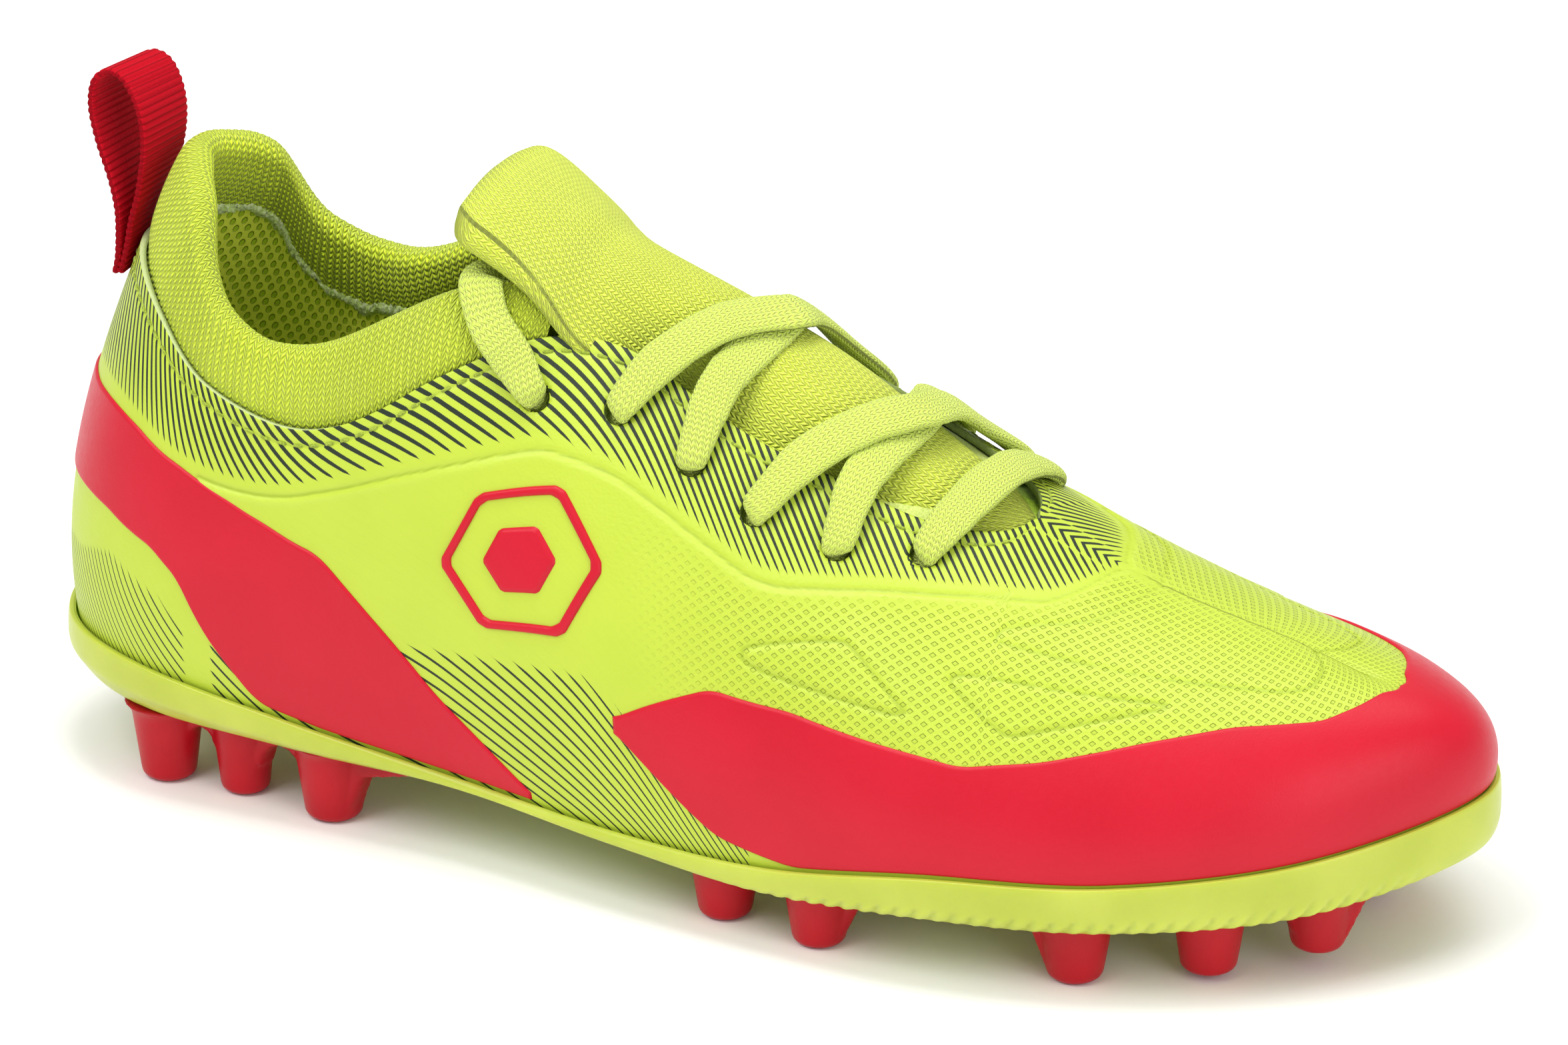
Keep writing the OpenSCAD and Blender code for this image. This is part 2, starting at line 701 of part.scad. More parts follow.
// Tape over the back seam: half its width in stations, its ends as shares of the height, thickness
tape_half = 0.3;
tape_v = [0.74, 0.97];
tape_t = 0.5;

module collar_seam_tape() {
    color("lightgray") place()
        sheet([for (k = [-tape_half, 0, tape_half]) [k + count, tape_v[0], tape_v[1]]],
              5, collar_d + collar_t + foam_gap, tape_t);
}

// ---- Tongue ----

tongue_cells = 12;
function eased(t) = t * t * (3 - 2 * t);
function base_depth(k, s) =
    let (ridge = base_sink * eased(share(k, base_sinks_from, base_to)) - base_rise,
         under = lining_d + lining_t + layer_gap + 0.1)
    ridge + (max(under, ridge) - ridge) * eased(share(abs(s), base_dips[0], base_dips[1]));
function base_spot(k, s, d) =
    let (v = 1 - (1 - edge_height(k) + base_tuck) * abs(s), e = base_depth(k, s) + d)
    s == 0 ? (layer(k, v, e) + layer(count - k, v, e)) / 2 : layer(s < 0 ? k : count - k, v, e);
function base_row(k, d) = [for (i = [0:tongue_cells]) base_spot(k, 2 * i / tongue_cells - 1, d)];
function arch(row, d) = [
    for (i = [0:tongue_cells])
        let (a = (2 * i / tongue_cells - 1) * row[3] / row[2] * 180 / PI, r = row[2] - d)
        [row[0], r * sin(a), row[1] - row[2] + r * cos(a)]
];
function backwards(list) = [for (i = [len(list) - 1:-1:0]) list[i]];
function tongue_ring(row) = concat(arch(row, 0), backwards(arch(row, tongue_t)));

module tongue_base() {
    color("greenyellow") place()
        skein([
            for (i = [0:base_rings])
                let (k = base_to + (base_from - base_to) * i / base_rings)
                concat(base_row(k, 0), backwards(base_row(k, tongue_t)))
        ]);
}

module tongue_flap() {
    color("greenyellow") place()
        skein([for (r = flap_rows) tongue_ring(r)]);
}

// ---- Lace ----

lace_sides = 8;
hole_w = 4.2;
hole_t = 2.2;
function lace_spot(r) = let (p = throat(r[0], r[1])) layer(p[0], p[1], -r[2]);
lace_points = [for (r = lace_route) lace_spot(r)];
lace_normals = [for (r = lace_route) let (p = throat(r[0], r[1])) -inward(p[0], p[1])];
lace_last = len(lace_route) - 1;
function unit_of(v) = v / norm(v);
function lace_way(i) =
    let (flag = lace_route[i][3],
         a = flag == 1 ? i : max(0, i - 1),
         b = flag == -1 ? i : min(lace_last, i + 1))
    lace_points[b] - lace_points[a];
function lace_side(i) =
    lace_route[i][3] == 2
        ? unit_of(lace_side(i - 1) + lace_side(i + 1))
        : unit_of(cross(lace_way(i), lace_normals[i]));
function lace_ring(i) =
    let (t = unit_of(lace_points[min(lace_last, i + 1)] - lace_points[max(0, i - 1)]),
         n = unit_of(cross(lace_side(i), t)),
         s = cross(t, n),
         squeezed = lace_route[i][3] == 2,
         w = squeezed ? hole_w : lace_w,
         h = squeezed ? hole_t : lace_t)
    [for (j = [0:lace_sides - 1])
        let (a = -(j + 0.5) * 360 / lace_sides)
        lace_points[i] + (s * w * cos(a) + n * h * sin(a)) / 2 / cos(180 / lace_sides)];

module lace() {
    color("palegreen") place() skein([for (i = [0:lace_last]) lace_ring(i)]);
}

aglet_length = 16;
aglet_r = 1.5;

module aglet(i, j) {
    a = lace_points[i];
    d = unit_of(a - lace_points[j]);
    translate(a + d * 0.1)
        rotate([0, acos(d[2]), atan2(d[1], d[0])])
            cylinder(h = aglet_length, r = aglet_r, $fn = 24);
}

module aglet_outer() {
    color("palegreen") place() aglet(0, 1);
}

module aglet_inner() {
    color("palegreen") place() aglet(lace_last, lace_last - 1);
}

// ---- Pull tab ----

function tab_spot(p, y, off, n) =
    let (a = tab_turn * max(0, (p[1] - tab_foot_z) / (tab_top_z - tab_foot_z)),
         x = p[0] + n[0] * off, z = p[1] + n[1] * off)
    [x - y * sin(-a), y * cos(a), z];
function tab_normal(i) =
    let (a = tab_path[max(0, i - 1)], b = tab_path[min(len(tab_path) - 1, i + 1)], d = b - a)
    [d[1], -d[0]] / norm(d);
function tab_ring(i) =
    let (p = tab_path[i], n = tab_normal(i), w = tab_w / 2, h = tab_t / 2)
    [tab_spot(p, -w, h, n), tab_spot(p, w, h, n), tab_spot(p, w, -h, n), tab_spot(p, -w, -h, n)];

module pull_tab_loop() {
    color("crimson") place() skein([for (i = [0:len(tab_path) - 1]) tab_ring(i)]);
}

// Sewn foot of the pull tab: half its width in stations, its ends as shares of the height, thickness
foot_half = 0.3;
foot_v = [0.7, 0.752];
foot_t = 1.5;
foot_gap = 0.2;

module pull_tab_anchor() {
    color("crimson") place()
        sheet([for (k = [-foot_half:foot_half / 2:foot_half]) [k + count, foot_v[0], foot_v[1]]],
              2, -foot_t - foot_gap, foot_t);
}

outsole_plate();
heel_studs_outer();
heel_studs_inner();
arch_stud_outer();
arch_stud_inner();
ball_stud_outer();
ball_stud_inner();
forefoot_stud_outer();
forefoot_stud_inner();
toe_studs_outer();
toe_studs_inner();
centre_studs();
insole_board();
sockliner();
skin_upper();
toe_film();
heel_band_film();
badge_ring();
badge_core();
toe_puff();
heel_counter();
eyestay_backer_outer();
eyestay_backer_inner();
vamp_lining();
heel_lining();
collar_knit();
collar_foam();
collar_seam_tape();
tongue_base();
tongue_flap();
lace();
aglet_outer();
aglet_inner();
pull_tab_anchor();
pull_tab_loop();
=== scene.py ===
"""A football boot: the visual model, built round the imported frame.

Shapes are worked out in millimetres from the back of the heel, with +X to the toe and -Y to the
outer side of the foot, and are turned into the frame's metres when a mesh is made.
"""
import math

import bmesh
import bpy
import numpy as np
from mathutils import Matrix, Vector


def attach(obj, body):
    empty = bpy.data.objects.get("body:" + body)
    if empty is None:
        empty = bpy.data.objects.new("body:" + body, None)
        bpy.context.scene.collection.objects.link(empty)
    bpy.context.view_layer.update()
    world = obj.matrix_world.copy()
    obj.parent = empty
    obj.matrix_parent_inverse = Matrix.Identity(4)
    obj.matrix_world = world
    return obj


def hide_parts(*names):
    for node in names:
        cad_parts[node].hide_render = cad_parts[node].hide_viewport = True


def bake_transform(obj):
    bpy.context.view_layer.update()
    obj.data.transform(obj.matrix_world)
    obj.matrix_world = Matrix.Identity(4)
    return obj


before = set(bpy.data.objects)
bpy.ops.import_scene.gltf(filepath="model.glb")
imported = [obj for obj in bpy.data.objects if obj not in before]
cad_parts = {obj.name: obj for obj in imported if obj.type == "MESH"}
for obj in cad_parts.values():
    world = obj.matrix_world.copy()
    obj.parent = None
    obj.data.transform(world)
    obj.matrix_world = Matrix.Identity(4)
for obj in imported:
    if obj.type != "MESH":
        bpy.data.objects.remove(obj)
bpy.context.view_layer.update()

MIDDLE = np.array([125.0, -1.25, 0.0])
MM = 0.001

# ---- Numbers and arrays ----


def clamp(x):
    return np.clip(x, 0.0, 1.0)


def smooth(x):
    x = clamp(x)
    return x * x * (3 - 2 * x)


def mix(a, b, t):
    return a + (b - a) * t


def unit(v):
    return v / np.maximum(np.linalg.norm(v, axis=-1, keepdims=True), 1e-9)


def running(points, axis):
    """Length along an array of points from the start of that axis."""
    gaps = np.linalg.norm(np.diff(points, axis=axis), axis=-1)
    lengths = np.cumsum(gaps, axis=axis)
    return np.concatenate([np.zeros_like(np.take(lengths, [0], axis)), lengths], axis)


def eased(rows, k, column, blur):
    """Value of a column of a table at k, with its corners rounded over blur."""
    table = np.array(rows, float)
    shifts = np.linspace(-blur, blur, 9)
    return np.mean([np.interp(k + s, table[:, 0], table[:, column]) for s in shifts], axis=0)


def through(rows, t):
    """Smooth curve through rows of numbers; t runs from 0 to the last row's number."""
    rows = np.array(rows, float)
    last = len(rows) - 1
    i = np.clip(np.floor(t).astype(int), 0, last - 1)
    f = (t - i)[:, None]
    a, b, c, d = (rows[np.clip(i + n, 0, last)] for n in (-1, 0, 1, 2))
    return 0.5 * (2 * b + (c - a) * f + (2 * a - 5 * b + 4 * c - d) * f**2 + (3 * b - a - 3 * c + d) * f**3)


def ripple(x, seed):
    """Gentle unevenness between -1 and 1, the same on every run."""
    rng = np.random.default_rng(seed)
    waves = [(rng.uniform(0.5, 1.6), rng.uniform(0, 2 * math.pi), n) for n in (1, 2, 3, 5)]
    return sum(np.sin(x * speed * n + phase) / n for speed, phase, n in waves) / 2.0


# ---- The outer surface of the upper ----

# One row per station round the boot: bite line x y z, bulge and rise above it, top line x y z,
# spread and drop below it, sole wall corner z, sole bottom z, depth of the sole's cup.
STATIONS = np.array([
    [1, 0, 25.5, 3.5, 30, 20, 0, 107.7, 12, 30, 17, 14, 6],
    [7, -18, 25.5, 4, 30, 28, -17, 102.5, 9, 28, 17, 13.5, 6],
    [24, -28, 24, 5, 26, 37, -25, 86.5, 3, 22, 16, 13.2, 6],
    [52, -30, 19.5, 5, 24, 54, -26, 83.5, 3, 20, 14.5, 12.5, 4],
    [84, -32, 15.7, 6, 26, 80, -18, 98.5, 14, 16, 13.8, 11.8, 1.8],
    [114, -38, 14.5, 5, 26, 108, 0, 97.5, 26, 1.5, 12, 10.8, 1.8],
    [142, -42.5, 15.2, 3, 24, 136, 0, 84.5, 26, 2, 10.6, 10, 2.6],
    [170, -44.5, 19.5, 2, 22, 164, 0, 69.5, 26, 3, 12.4, 10.5, 4.5],
    [200, -39, 20.8, 2, 18, 192, 0, 57.5, 23, 2, 12.8, 11, 5],
    [229, -24, 24, 3, 15, 216, 0, 51, 18, 1, 14.5, 13, 6],
    [249, 2, 28, 3, 12, 230, 0, 46.5, 13, 0, 18, 16.5, 6],
    [238, 26, 25.5, 3, 14, 216, 0, 51, 16, 2, 15, 13.5, 6],
    [214, 37.5, 21.5, 2, 16, 192, 0, 57.5, 22, 2, 13, 11, 5],
    [186, 42, 19, 2, 18, 164, 0, 69.5, 23, -1, 12.2, 10.5, 4.5],
    [156, 40, 17, 3, 22, 136, 0, 84.5, 22, -3, 11.4, 10, 3.4],
    [122, 33, 15.5, 5, 26, 108, 0, 97.5, 20, -1, 12, 10.8, 2],
    [88, 28, 16.5, 6, 26, 80, 18, 98.5, 13, 17, 13.8, 11.8, 2],
    [54, 28.5, 19.5, 5, 24, 54, 26, 83.5, 3, 20, 14.5, 12.5, 4],
    [24, 27, 24, 5, 26, 37, 25, 86.5, 3, 22, 16, 13.2, 6],
    [7, 17, 25.5, 4, 30, 28, 17, 102.5, 9, 28, 17, 13.5, 6],
], float)
COUNT = len(STATIONS)
HALF = COUNT // 2
TINY = 0.02
# Upper edge of the skin at every half station, and the round end of the throat
SKIN_EDGE = [0.81, 0.805, 0.805, 0.825, 0.845, 0.845, 0.81, 0.77, 0.79, 0.82, 0.79, 0.75, 0.76, 0.79, 0.8]
THROAT_BEND = 6.55
THROAT_END = 7.3


def station(k):
    k = np.asarray(k, float)
    i = np.floor(k).astype(int)
    t = (k - i)[..., None]
    a, b, c, d = (STATIONS[(i + n) % COUNT] for n in (-1, 0, 1, 2))
    return 0.5 * (2 * b + (c - a) * t + (2 * a - 5 * b + 4 * c - d) * t**2 + (3 * b - a - 3 * c + d) * t**3)


def across(k):
    d = station(k + TINY) - station(k - TINY)
    return unit(np.stack([d[..., 1], -d[..., 0], np.zeros_like(d[..., 0])], -1))


def face(k, v):
    """Point of the skin's outer face, from the bite line (v = 0) to the top line (v = 1)."""
    k, v = np.broadcast_arrays(np.asarray(k, float), np.asarray(v, float))
    s, out, up = station(k), across(k), np.array([0, 0, 1.0])
    low, top = s[..., 0:3], s[..., 5:8]
    rise = low + out * s[..., 3:4] + up * s[..., 4:5]
    drop = top + out * s[..., 8:9] - up * s[..., 9:10]
    v = v[..., None]
    w = 1 - v
    return w**3 * low + 3 * w**2 * v * rise + 3 * w * v**2 * drop + v**3 * top


def outward(k, v):
    u = np.minimum(v, 1 - TINY)
    a = face(k + TINY, u) - face(k - TINY, u)
    b = face(k, u + TINY) - face(k, u - TINY)
    return unit(np.cross(a, b))


def spot(k, v, lift):
    """Point lift millimetres outside the skin's face, or inside it where lift is below 0."""
    return face(k, v) + outward(k, v) * np.asarray(lift, float)[..., None]


def side(k):
    k = np.mod(k, COUNT)
    return np.minimum(k, COUNT - k)


def skin_top(k):
    """Upper edge of the skin, which runs round the end of the throat in a U."""
    s = side(k)
    halves = np.column_stack([np.arange(len(SKIN_EDGE)) / 2, SKIN_EDGE])
    edge = eased(halves, s, 1, 0.2)
    turn = clamp((s - THROAT_BEND) / (THROAT_END - THROAT_BEND))
    return np.where(s >= THROAT_END, 1.0, 1 - (1 - edge) * np.sqrt(1 - turn**2))


def foot_share(k, above):
    s = station(k)
    return (above - s[..., 12]) / (3 * s[..., 4])


def height_of(k):
    """Millimetres from the bite line to the top line."""
    return running(face(k[:, None], np.linspace(0, 1, 25)[None, :]), 1)[:, -1]


# Share of the upper's height between the middle of the throat and place 1
THROAT_REACH = 0.35
# Stations by which the lacing leads towards the toe on the inner side, where that grows and where it fades
LACING_LEAD = 0.42
LEAD_GROWS, LEAD_FADES = (4.6, 5.0), (7.6, 6.0)


def share_of(x, start, end):
    return min(1.0, max(0.0, (x - start) / (end - start)))


def throat(k, q):
    """Station and height of a place across the throat; q is below 0 on the outer side."""
    at = k + LACING_LEAD * share_of(k, *LEAD_GROWS) * share_of(k, *LEAD_FADES) * share_of(q, -1, 0)
    return (at, 1 + THROAT_REACH * q) if q <= 0 else (COUNT - at, 1 - THROAT_REACH * q)


# ---- Pieces made from grids of points ----


def grid_faces(n, m, wrap_u=False, wrap_v=False):
    i = np.arange(n if wrap_u else n - 1)[:, None]
    j = np.arange(m if wrap_v else m - 1)[None, :]
    p, q = (i + 1) % n, (j + 1) % m
    return np.stack(np.broadcast_arrays(i * m + j, p * m + j, p * m + q, i * m + q), -1).reshape(-1, 4)


def piece(name, points, faces, finishes, body, slot, **attributes):
    """A smooth mesh in the frame's metres that rides on a body, with three numbers a point per attribute."""
    mesh = bpy.data.meshes.new(name)
    flat = points.reshape(-1, 3)
    mesh.from_pydata(((flat - MIDDLE) * MM).tolist(), [], [list(map(int, f)) for f in faces])
    for key, values in attributes.items():
        layer = mesh.attributes.new(key, "FLOAT_VECTOR", "POINT")
        layer.data.foreach_set("vector", values.astype(np.float32).ravel())
    mesh.shade_smooth()
    for finish in finishes:
        mesh.materials.append(finish)
    made = bpy.data.objects.new(name, mesh)
    bpy.context.scene.collection.objects.link(made)
    if body:
        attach(made, body)
    return made


def flow_of(points):
    """Millimetres along the columns and up the rows of a grid, for woven and knitted finishes."""
    along = running(points, 0)
    middle = along[:, [points.shape[1] // 2]]
    return np.stack([np.broadcast_to(middle, along.shape), running(points, 1), np.zeros_like(along)], -1)


def tube(name, rings, finishes, body, slot):
    """Closed solid through rings of points, with a flat fan at each end."""
    n, m = rings.shape[:2]
    faces = grid_faces(n, m, wrap_v=True).tolist()
    faces += [list(range(m))[::-1], [(n - 1) * m + i for i in range(m)]]
    closed = np.concatenate([rings, rings[:, :1]], 1)
    flow = flow_of(closed)[:, :-1]
    return piece(name, rings, faces, finishes, body, slot, flow=flow.reshape(-1, 3))


def soften(made, size, passes):
    """Rounds a moulded piece by remeshing it finely and smoothing it."""
    remesh = made.modifiers.new("remesh", "REMESH")
    remesh.mode = "VOXEL"
    remesh.voxel_size = size
    relax = made.modifiers.new("relax", "SMOOTH")
    relax.iterations = passes
    relax.factor = 0.5
    graph = bpy.context.evaluated_depsgraph_get()
    mesh = bpy.data.meshes.new_from_object(made.evaluated_get(graph))
    made.modifiers.clear()
    made.data = mesh
    mesh.shade_smooth()


# ---- Materials ----


class Graph:
    """Short calls that build one material's node tree."""

    def __init__(self, name, colour, roughness, **sockets):
        self.material = bpy.data.materials.new(name)
        self.material.use_nodes = True
        self.tree = self.material.node_tree
        self.shader = self.tree.nodes["Principled BSDF"]
        self.shader.inputs["Base Color"].default_value = (*colour, 1)
        self.shader.inputs["Roughness"].default_value = roughness
        for key, value in sockets.items():
            self.shader.inputs[key.replace("_", " ")].default_value = value

    def node(self, kind, *sources, **settings):
        made = self.tree.nodes.new("ShaderNode" + kind)
        for key, value in settings.items():
            setattr(made, key, value)
        for place, source in enumerate(sources):
            if source is not None:
                self.feed(made.inputs[place], source)
        return made

    def feed(self, socket, source):
        if isinstance(source, bpy.types.NodeSocket):
            self.tree.links.new(source, socket)
        else:
            socket.default_value = source

    def math(self, operation, *sources):
        return self.node("Math", *sources, operation=operation).outputs[0]

    def attribute(self, name):
        made = self.node("Attribute", attribute_name=name)
        return self.node("SeparateXYZ", made.outputs["Vector"]).outputs

    def noise(self, size, detail=2.0, where=None):
        """Noise whose features are about size millimetres across."""
        if where is None:
            where = self.node("TexCoord").outputs["Object"]
            size = size * MM
        made = self.node("TexNoise")
        self.feed(made.inputs["Vector"], where)
        made.inputs["Scale"].default_value = 1 / size
        made.inputs["Detail"].default_value = detail
        return made.outputs["Fac"]

    def step(self, value, low, high):
        """0 below low, 1 above high, and smooth between them."""
        made = self.node("MapRange", value, low, high, 0.0, 1.0, interpolation_type="SMOOTHSTEP")
        return made.outputs[0]

    def between(self, factor, a, b):
        made = self.node("Mix", data_type="RGBA")
        self.feed(made.inputs[0], factor)
        self.feed(made.inputs[6], a if isinstance(a, bpy.types.NodeSocket) else (*a, 1))
        self.feed(made.inputs[7], b if isinstance(b, bpy.types.NodeSocket) else (*b, 1))
        return made.outputs[2]

    def bump(self, height, distance, strength=1.0, before=None):
        """Bump of distance millimetres for a height from 0 to 1."""
        made = self.node("Bump")
        made.inputs["Strength"].default_value = strength
        made.inputs["Distance"].default_value = distance * MM
        self.feed(made.inputs["Height"], height)
        if before is not None:
            self.feed(made.inputs["Normal"], before)
        return made.outputs["Normal"]

    def stitch(self, u, w, wale, course, slant, yarn_power=1.0, strand_power=1.0):
        """Columns of V stitches: 1 along the middle of each leg of yarn, and 0 between them."""
        x = self.math("FRACT", self.math("DIVIDE", u, wale))
        leg = self.math("MULTIPLY", self.math("ABSOLUTE", self.math("SUBTRACT", x, 0.5)), 2.0)
        turn = self.math("MULTIPLY_ADD", leg, slant, self.math("DIVIDE", w, course))
        yarn = self.math("COSINE", self.math("MULTIPLY", turn, 2 * math.pi))
        yarn = self.math("POWER", self.math("MULTIPLY_ADD", yarn, 0.5, 0.5), yarn_power)
        strand = self.math("SINE", self.math("MULTIPLY", leg, math.pi))
        strand = self.math("POWER", self.math("MAXIMUM", strand, 0.0), strand_power)
        return self.math("MULTIPLY", yarn, strand)

    def done(self, colour=None, roughness=None, normal=None):
        for socket, source in (("Base Color", colour), ("Roughness", roughness), ("Normal", normal)):
            if source is not None:
                self.feed(self.shader.inputs[socket], source)
        return self.material

    def lattice(self, u, w, pitch_u, pitch_w):
        """Two offset grids of cells: distances from the nearest cell's middle, in periods."""
        found = []
        for shift in (0.0, 0.5):
            x = self.math("FRACT", self.math("MULTIPLY_ADD", u, 1 / pitch_u, shift))
            y = self.math("FRACT", self.math("MULTIPLY_ADD", w, 1 / pitch_w, shift))
            dx = self.math("ABSOLUTE", self.math("SUBTRACT", x, 0.5))
            dy = self.math("ABSOLUTE", self.math("SUBTRACT", y, 0.5))
            found.append((dx, dy))
        return found


LIME = (0.49, 0.61, 0.047)
LIME_DEEP = (0.44, 0.56, 0.036)
# LIME_PALE is both a paler tone of yarn in the knits and the painted highlight along the skin panel's raised
# lip
LIME_PALE = (0.60, 0.72, 0.13)
# Painted shade for the skin's grooves and dimple pits
LIME_PAINTED_SHADE = (0.26, 0.36, 0.012)
INK = (0.008, 0.018, 0.006)
RED = (0.54, 0.005, 0.022)
RED_DEEP = (0.46, 0.003, 0.014)
WEBBING_RED = (0.46, 0.003, 0.012)
# The lace's deep colour is painted shade between its yarns
LACE_PAINTED_SHADE, LACE_PALE, LACE_FUZZ = (0.52, 0.66, 0.07), (0.82, 0.95, 0.17), (0.84, 0.94, 0.30)


def skin_finish():
    g = Graph("skin", LIME, 0.46, Specular_IOR_Level=0.42)
    phase, width, dimple = g.attribute("print")
    u, w, raised = g.attribute("flow")
    cell = g.math("ABSOLUTE", g.math("SUBTRACT", g.math("FRACT", phase), 0.5))
    ragged = g.math("MULTIPLY_ADD", g.noise(0.3), 0.12, -0.06)
    reach = g.math("ADD", g.math("MULTIPLY", width, 0.5), g.math("MULTIPLY", ragged, width))
    ink = g.step(g.math("SUBTRACT", reach, cell), -0.01, 0.03)
    tone = g.between(g.noise(14.0, 3.0), LIME_DEEP, LIME)
    # Painted highlight: the top of the panel's raised lip is tinted paler
    tone = g.between(g.math("MULTIPLY", g.step(raised, 0.15, 0.36), 0.35), tone, LIME_PALE)
    # Painted shade: the moulded grooves and the stitch line's groove are tinted darker
    tone = g.between(g.math("MULTIPLY", g.step(raised, -0.06, -0.26), 0.45), tone, LIME_PAINTED_SHADE)
    grain = g.node("TexVoronoi", feature="SMOOTH_F1")
    g.feed(grain.inputs["Vector"], g.node("TexCoord").outputs["Object"])
    grain.inputs["Scale"].default_value = 1 / (0.55 * MM)
    normal = g.bump(grain.outputs["Distance"], 0.07, 0.6)
    pits = []
    for dx, dy in g.lattice(u, w, 2.5, 1.9):
        pits.append(g.step(g.math("ADD", dx, dy), 0.27, 0.17))
    pit = g.math("MULTIPLY", g.math("MAXIMUM", *pits), dimple)
    normal = g.bump(g.math("SUBTRACT", 1.0, pit), 0.34, 1.0, normal)
    # Painted shade: the dimple pits are tinted darker
    tone = g.between(g.math("MULTIPLY", pit, 0.22), tone, LIME_PAINTED_SHADE)
    colour = g.between(ink, tone, INK)
    normal = g.bump(ink, 0.05, 1.0, normal)
    rough = g.math("MULTIPLY_ADD", g.noise(3.0), 0.16, 0.36)
    return g.done(colour, g.math("MULTIPLY_ADD", ink, 0.1, rough), normal)


def film_finish():
    g = Graph("film", RED, 0.40, Specular_IOR_Level=0.26)
    grain = g.noise(0.32, 3.0)
    colour = g.between(g.step(g.noise(22.0), 0.35, 0.7), RED_DEEP, RED)
    colour = g.between(0.35, RED, colour)
    normal = g.bump(grain, 0.05, 0.55)
    normal = g.bump(g.noise(7.0), 0.25, 0.25, normal)
    return g.done(colour, g.math("MULTIPLY_ADD", g.noise(1.2), 0.14, 0.33), normal)


def knit_finish(name, light, dark, wale, course, depth):
    """Columns of V stitches, with painted shade, the dark colour, in the gaps between the yarns."""
    g = Graph(name, light, 0.72, Sheen_Weight=0.12, Specular_IOR_Level=0.2)
    u, w, _ = g.attribute("flow")
    wobble = g.math("MULTIPLY_ADD", g.noise(3.0), 0.5, -0.25)
    stitch = g.stitch(g.math("ADD", u, wobble), w, wale, course, 0.75, yarn_power=0.7, strand_power=0.6)
    fibre = g.noise(0.22, 3.0)
    # Painted shade: dark in the gaps between the legs of yarn, light along their middles
    colour = g.between(g.step(stitch, 0.0, 0.65), dark, light)
    colour = g.between(g.math("MULTIPLY", g.noise(9.0), 0.35), colour, LIME_PALE)
    normal = g.bump(fibre, 0.06, 0.6)
    normal = g.bump(stitch, depth, 1.0, normal)
    return g.done(colour, None, normal)


def mesh_finish():
    """Spacer mesh with long holes: painted shade in the holes, and a lime painted lighter than the skin's to
    make up for the shade inside the heel.
    """
    g = Graph("spacer_mesh", LIME, 0.75)
    u, w, _ = g.attribute("flow")
    holes = []
    for dx, dy in g.lattice(u, w, 2.2, 3.4):
        length = g.math("SQRT", g.math("ADD", g.math("POWER", dx, 2.0), g.math("POWER", dy, 2.0)))
        holes.append(g.step(length, 0.26, 0.17))
    hole = g.math("MAXIMUM", *holes)
    # Painted shade in the holes; the bright lime itself is painted light for the shade inside the heel
    colour = g.between(hole, (0.92, 1.0, 0.10), (0.50, 0.68, 0.02))
    normal = g.bump(g.noise(0.3, 3.0), 0.06, 0.6)
    normal = g.bump(g.math("SUBTRACT", 1.0, hole), 0.5, 1.0, normal)
    return g.done(colour, None, normal)


# Width and length in millimetres of one V of the lace's weave
LACE_WALE, LACE_COURSE = 1.2, 0.95


def lace_finish():
    """Fine slanting weave with a rib down each edge, and painted shade between its yarns."""
    g = Graph("lace", LACE_PALE, 0.70, Sheen_Weight=0.12, Specular_IOR_Level=0.2)
    w, u, _ = g.attribute("flow")
    stitch = g.stitch(u, w, LACE_WALE, LACE_COURSE, 0.6)
    # Painted shade: dark between the legs of yarn, pale along their middles
    colour = g.between(g.step(stitch, 0.0, 0.5), LACE_PAINTED_SHADE, LACE_PALE)
    colour = g.between(g.math("MULTIPLY", g.noise(0.5, 3.0), 0.3), colour, LACE_FUZZ)
    normal = g.bump(g.noise(0.25, 3.0), 0.06, 0.6)
    normal = g.bump(stitch, 0.46, 1.0, normal)
    return g.done(colour, None, normal)


def webbing_finish():
    g = Graph("webbing", RED, 0.70, Specular_IOR_Level=0.06)
    w, u, _ = g.attribute("flow")
    row = g.math("DIVIDE", w, 1.3)
    rib = g.math("ABSOLUTE", g.math("SINE", g.math("MULTIPLY", row, math.pi)))
    thread = g.math("MULTIPLY_ADD", g.math("SINE", g.math("DIVIDE", u, 0.055)), 0.5, 0.5)
    # Painted shade: dark in the grooves between the webbing's ribs
    colour = g.between(g.step(rib, 0.05, 0.6), (0.22, 0.002, 0.006), WEBBING_RED)
    colour = g.between(g.math("MULTIPLY", g.noise(0.6, 3.0), 0.2), colour, (0.52, 0.012, 0.025))
    normal = g.bump(g.math("MULTIPLY", thread, rib), 0.07, 0.8)
    normal = g.bump(g.noise(0.25, 3.0), 0.05, 0.5, normal)
    return g.done(colour, None, normal)


def moulded_finish(name, colour, dark, roughness, translucent):
    g = Graph(name, colour, roughness, Specular_IOR_Level=0.4 if translucent else 0.24)
    if translucent:
        g.shader.inputs["Subsurface Weight"].default_value = 0.55
        g.shader.inputs["Subsurface Radius"].default_value = (3 * MM, 4 * MM, 0.6 * MM)
        g.shader.inputs["Subsurface Scale"].default_value = 1.0
    tone = g.between(g.step(g.noise(18.0, 3.0), 0.3, 0.75), dark, colour)
    normal = g.bump(g.noise(0.5, 3.0), 0.04, 0.5)
    normal = g.bump(g.noise(6.0), 0.2, 0.3, normal)
    rough = g.math("MULTIPLY_ADD", g.noise(2.5, 3.0), 0.18, roughness - 0.09)
    return g.done(tone, rough, normal)


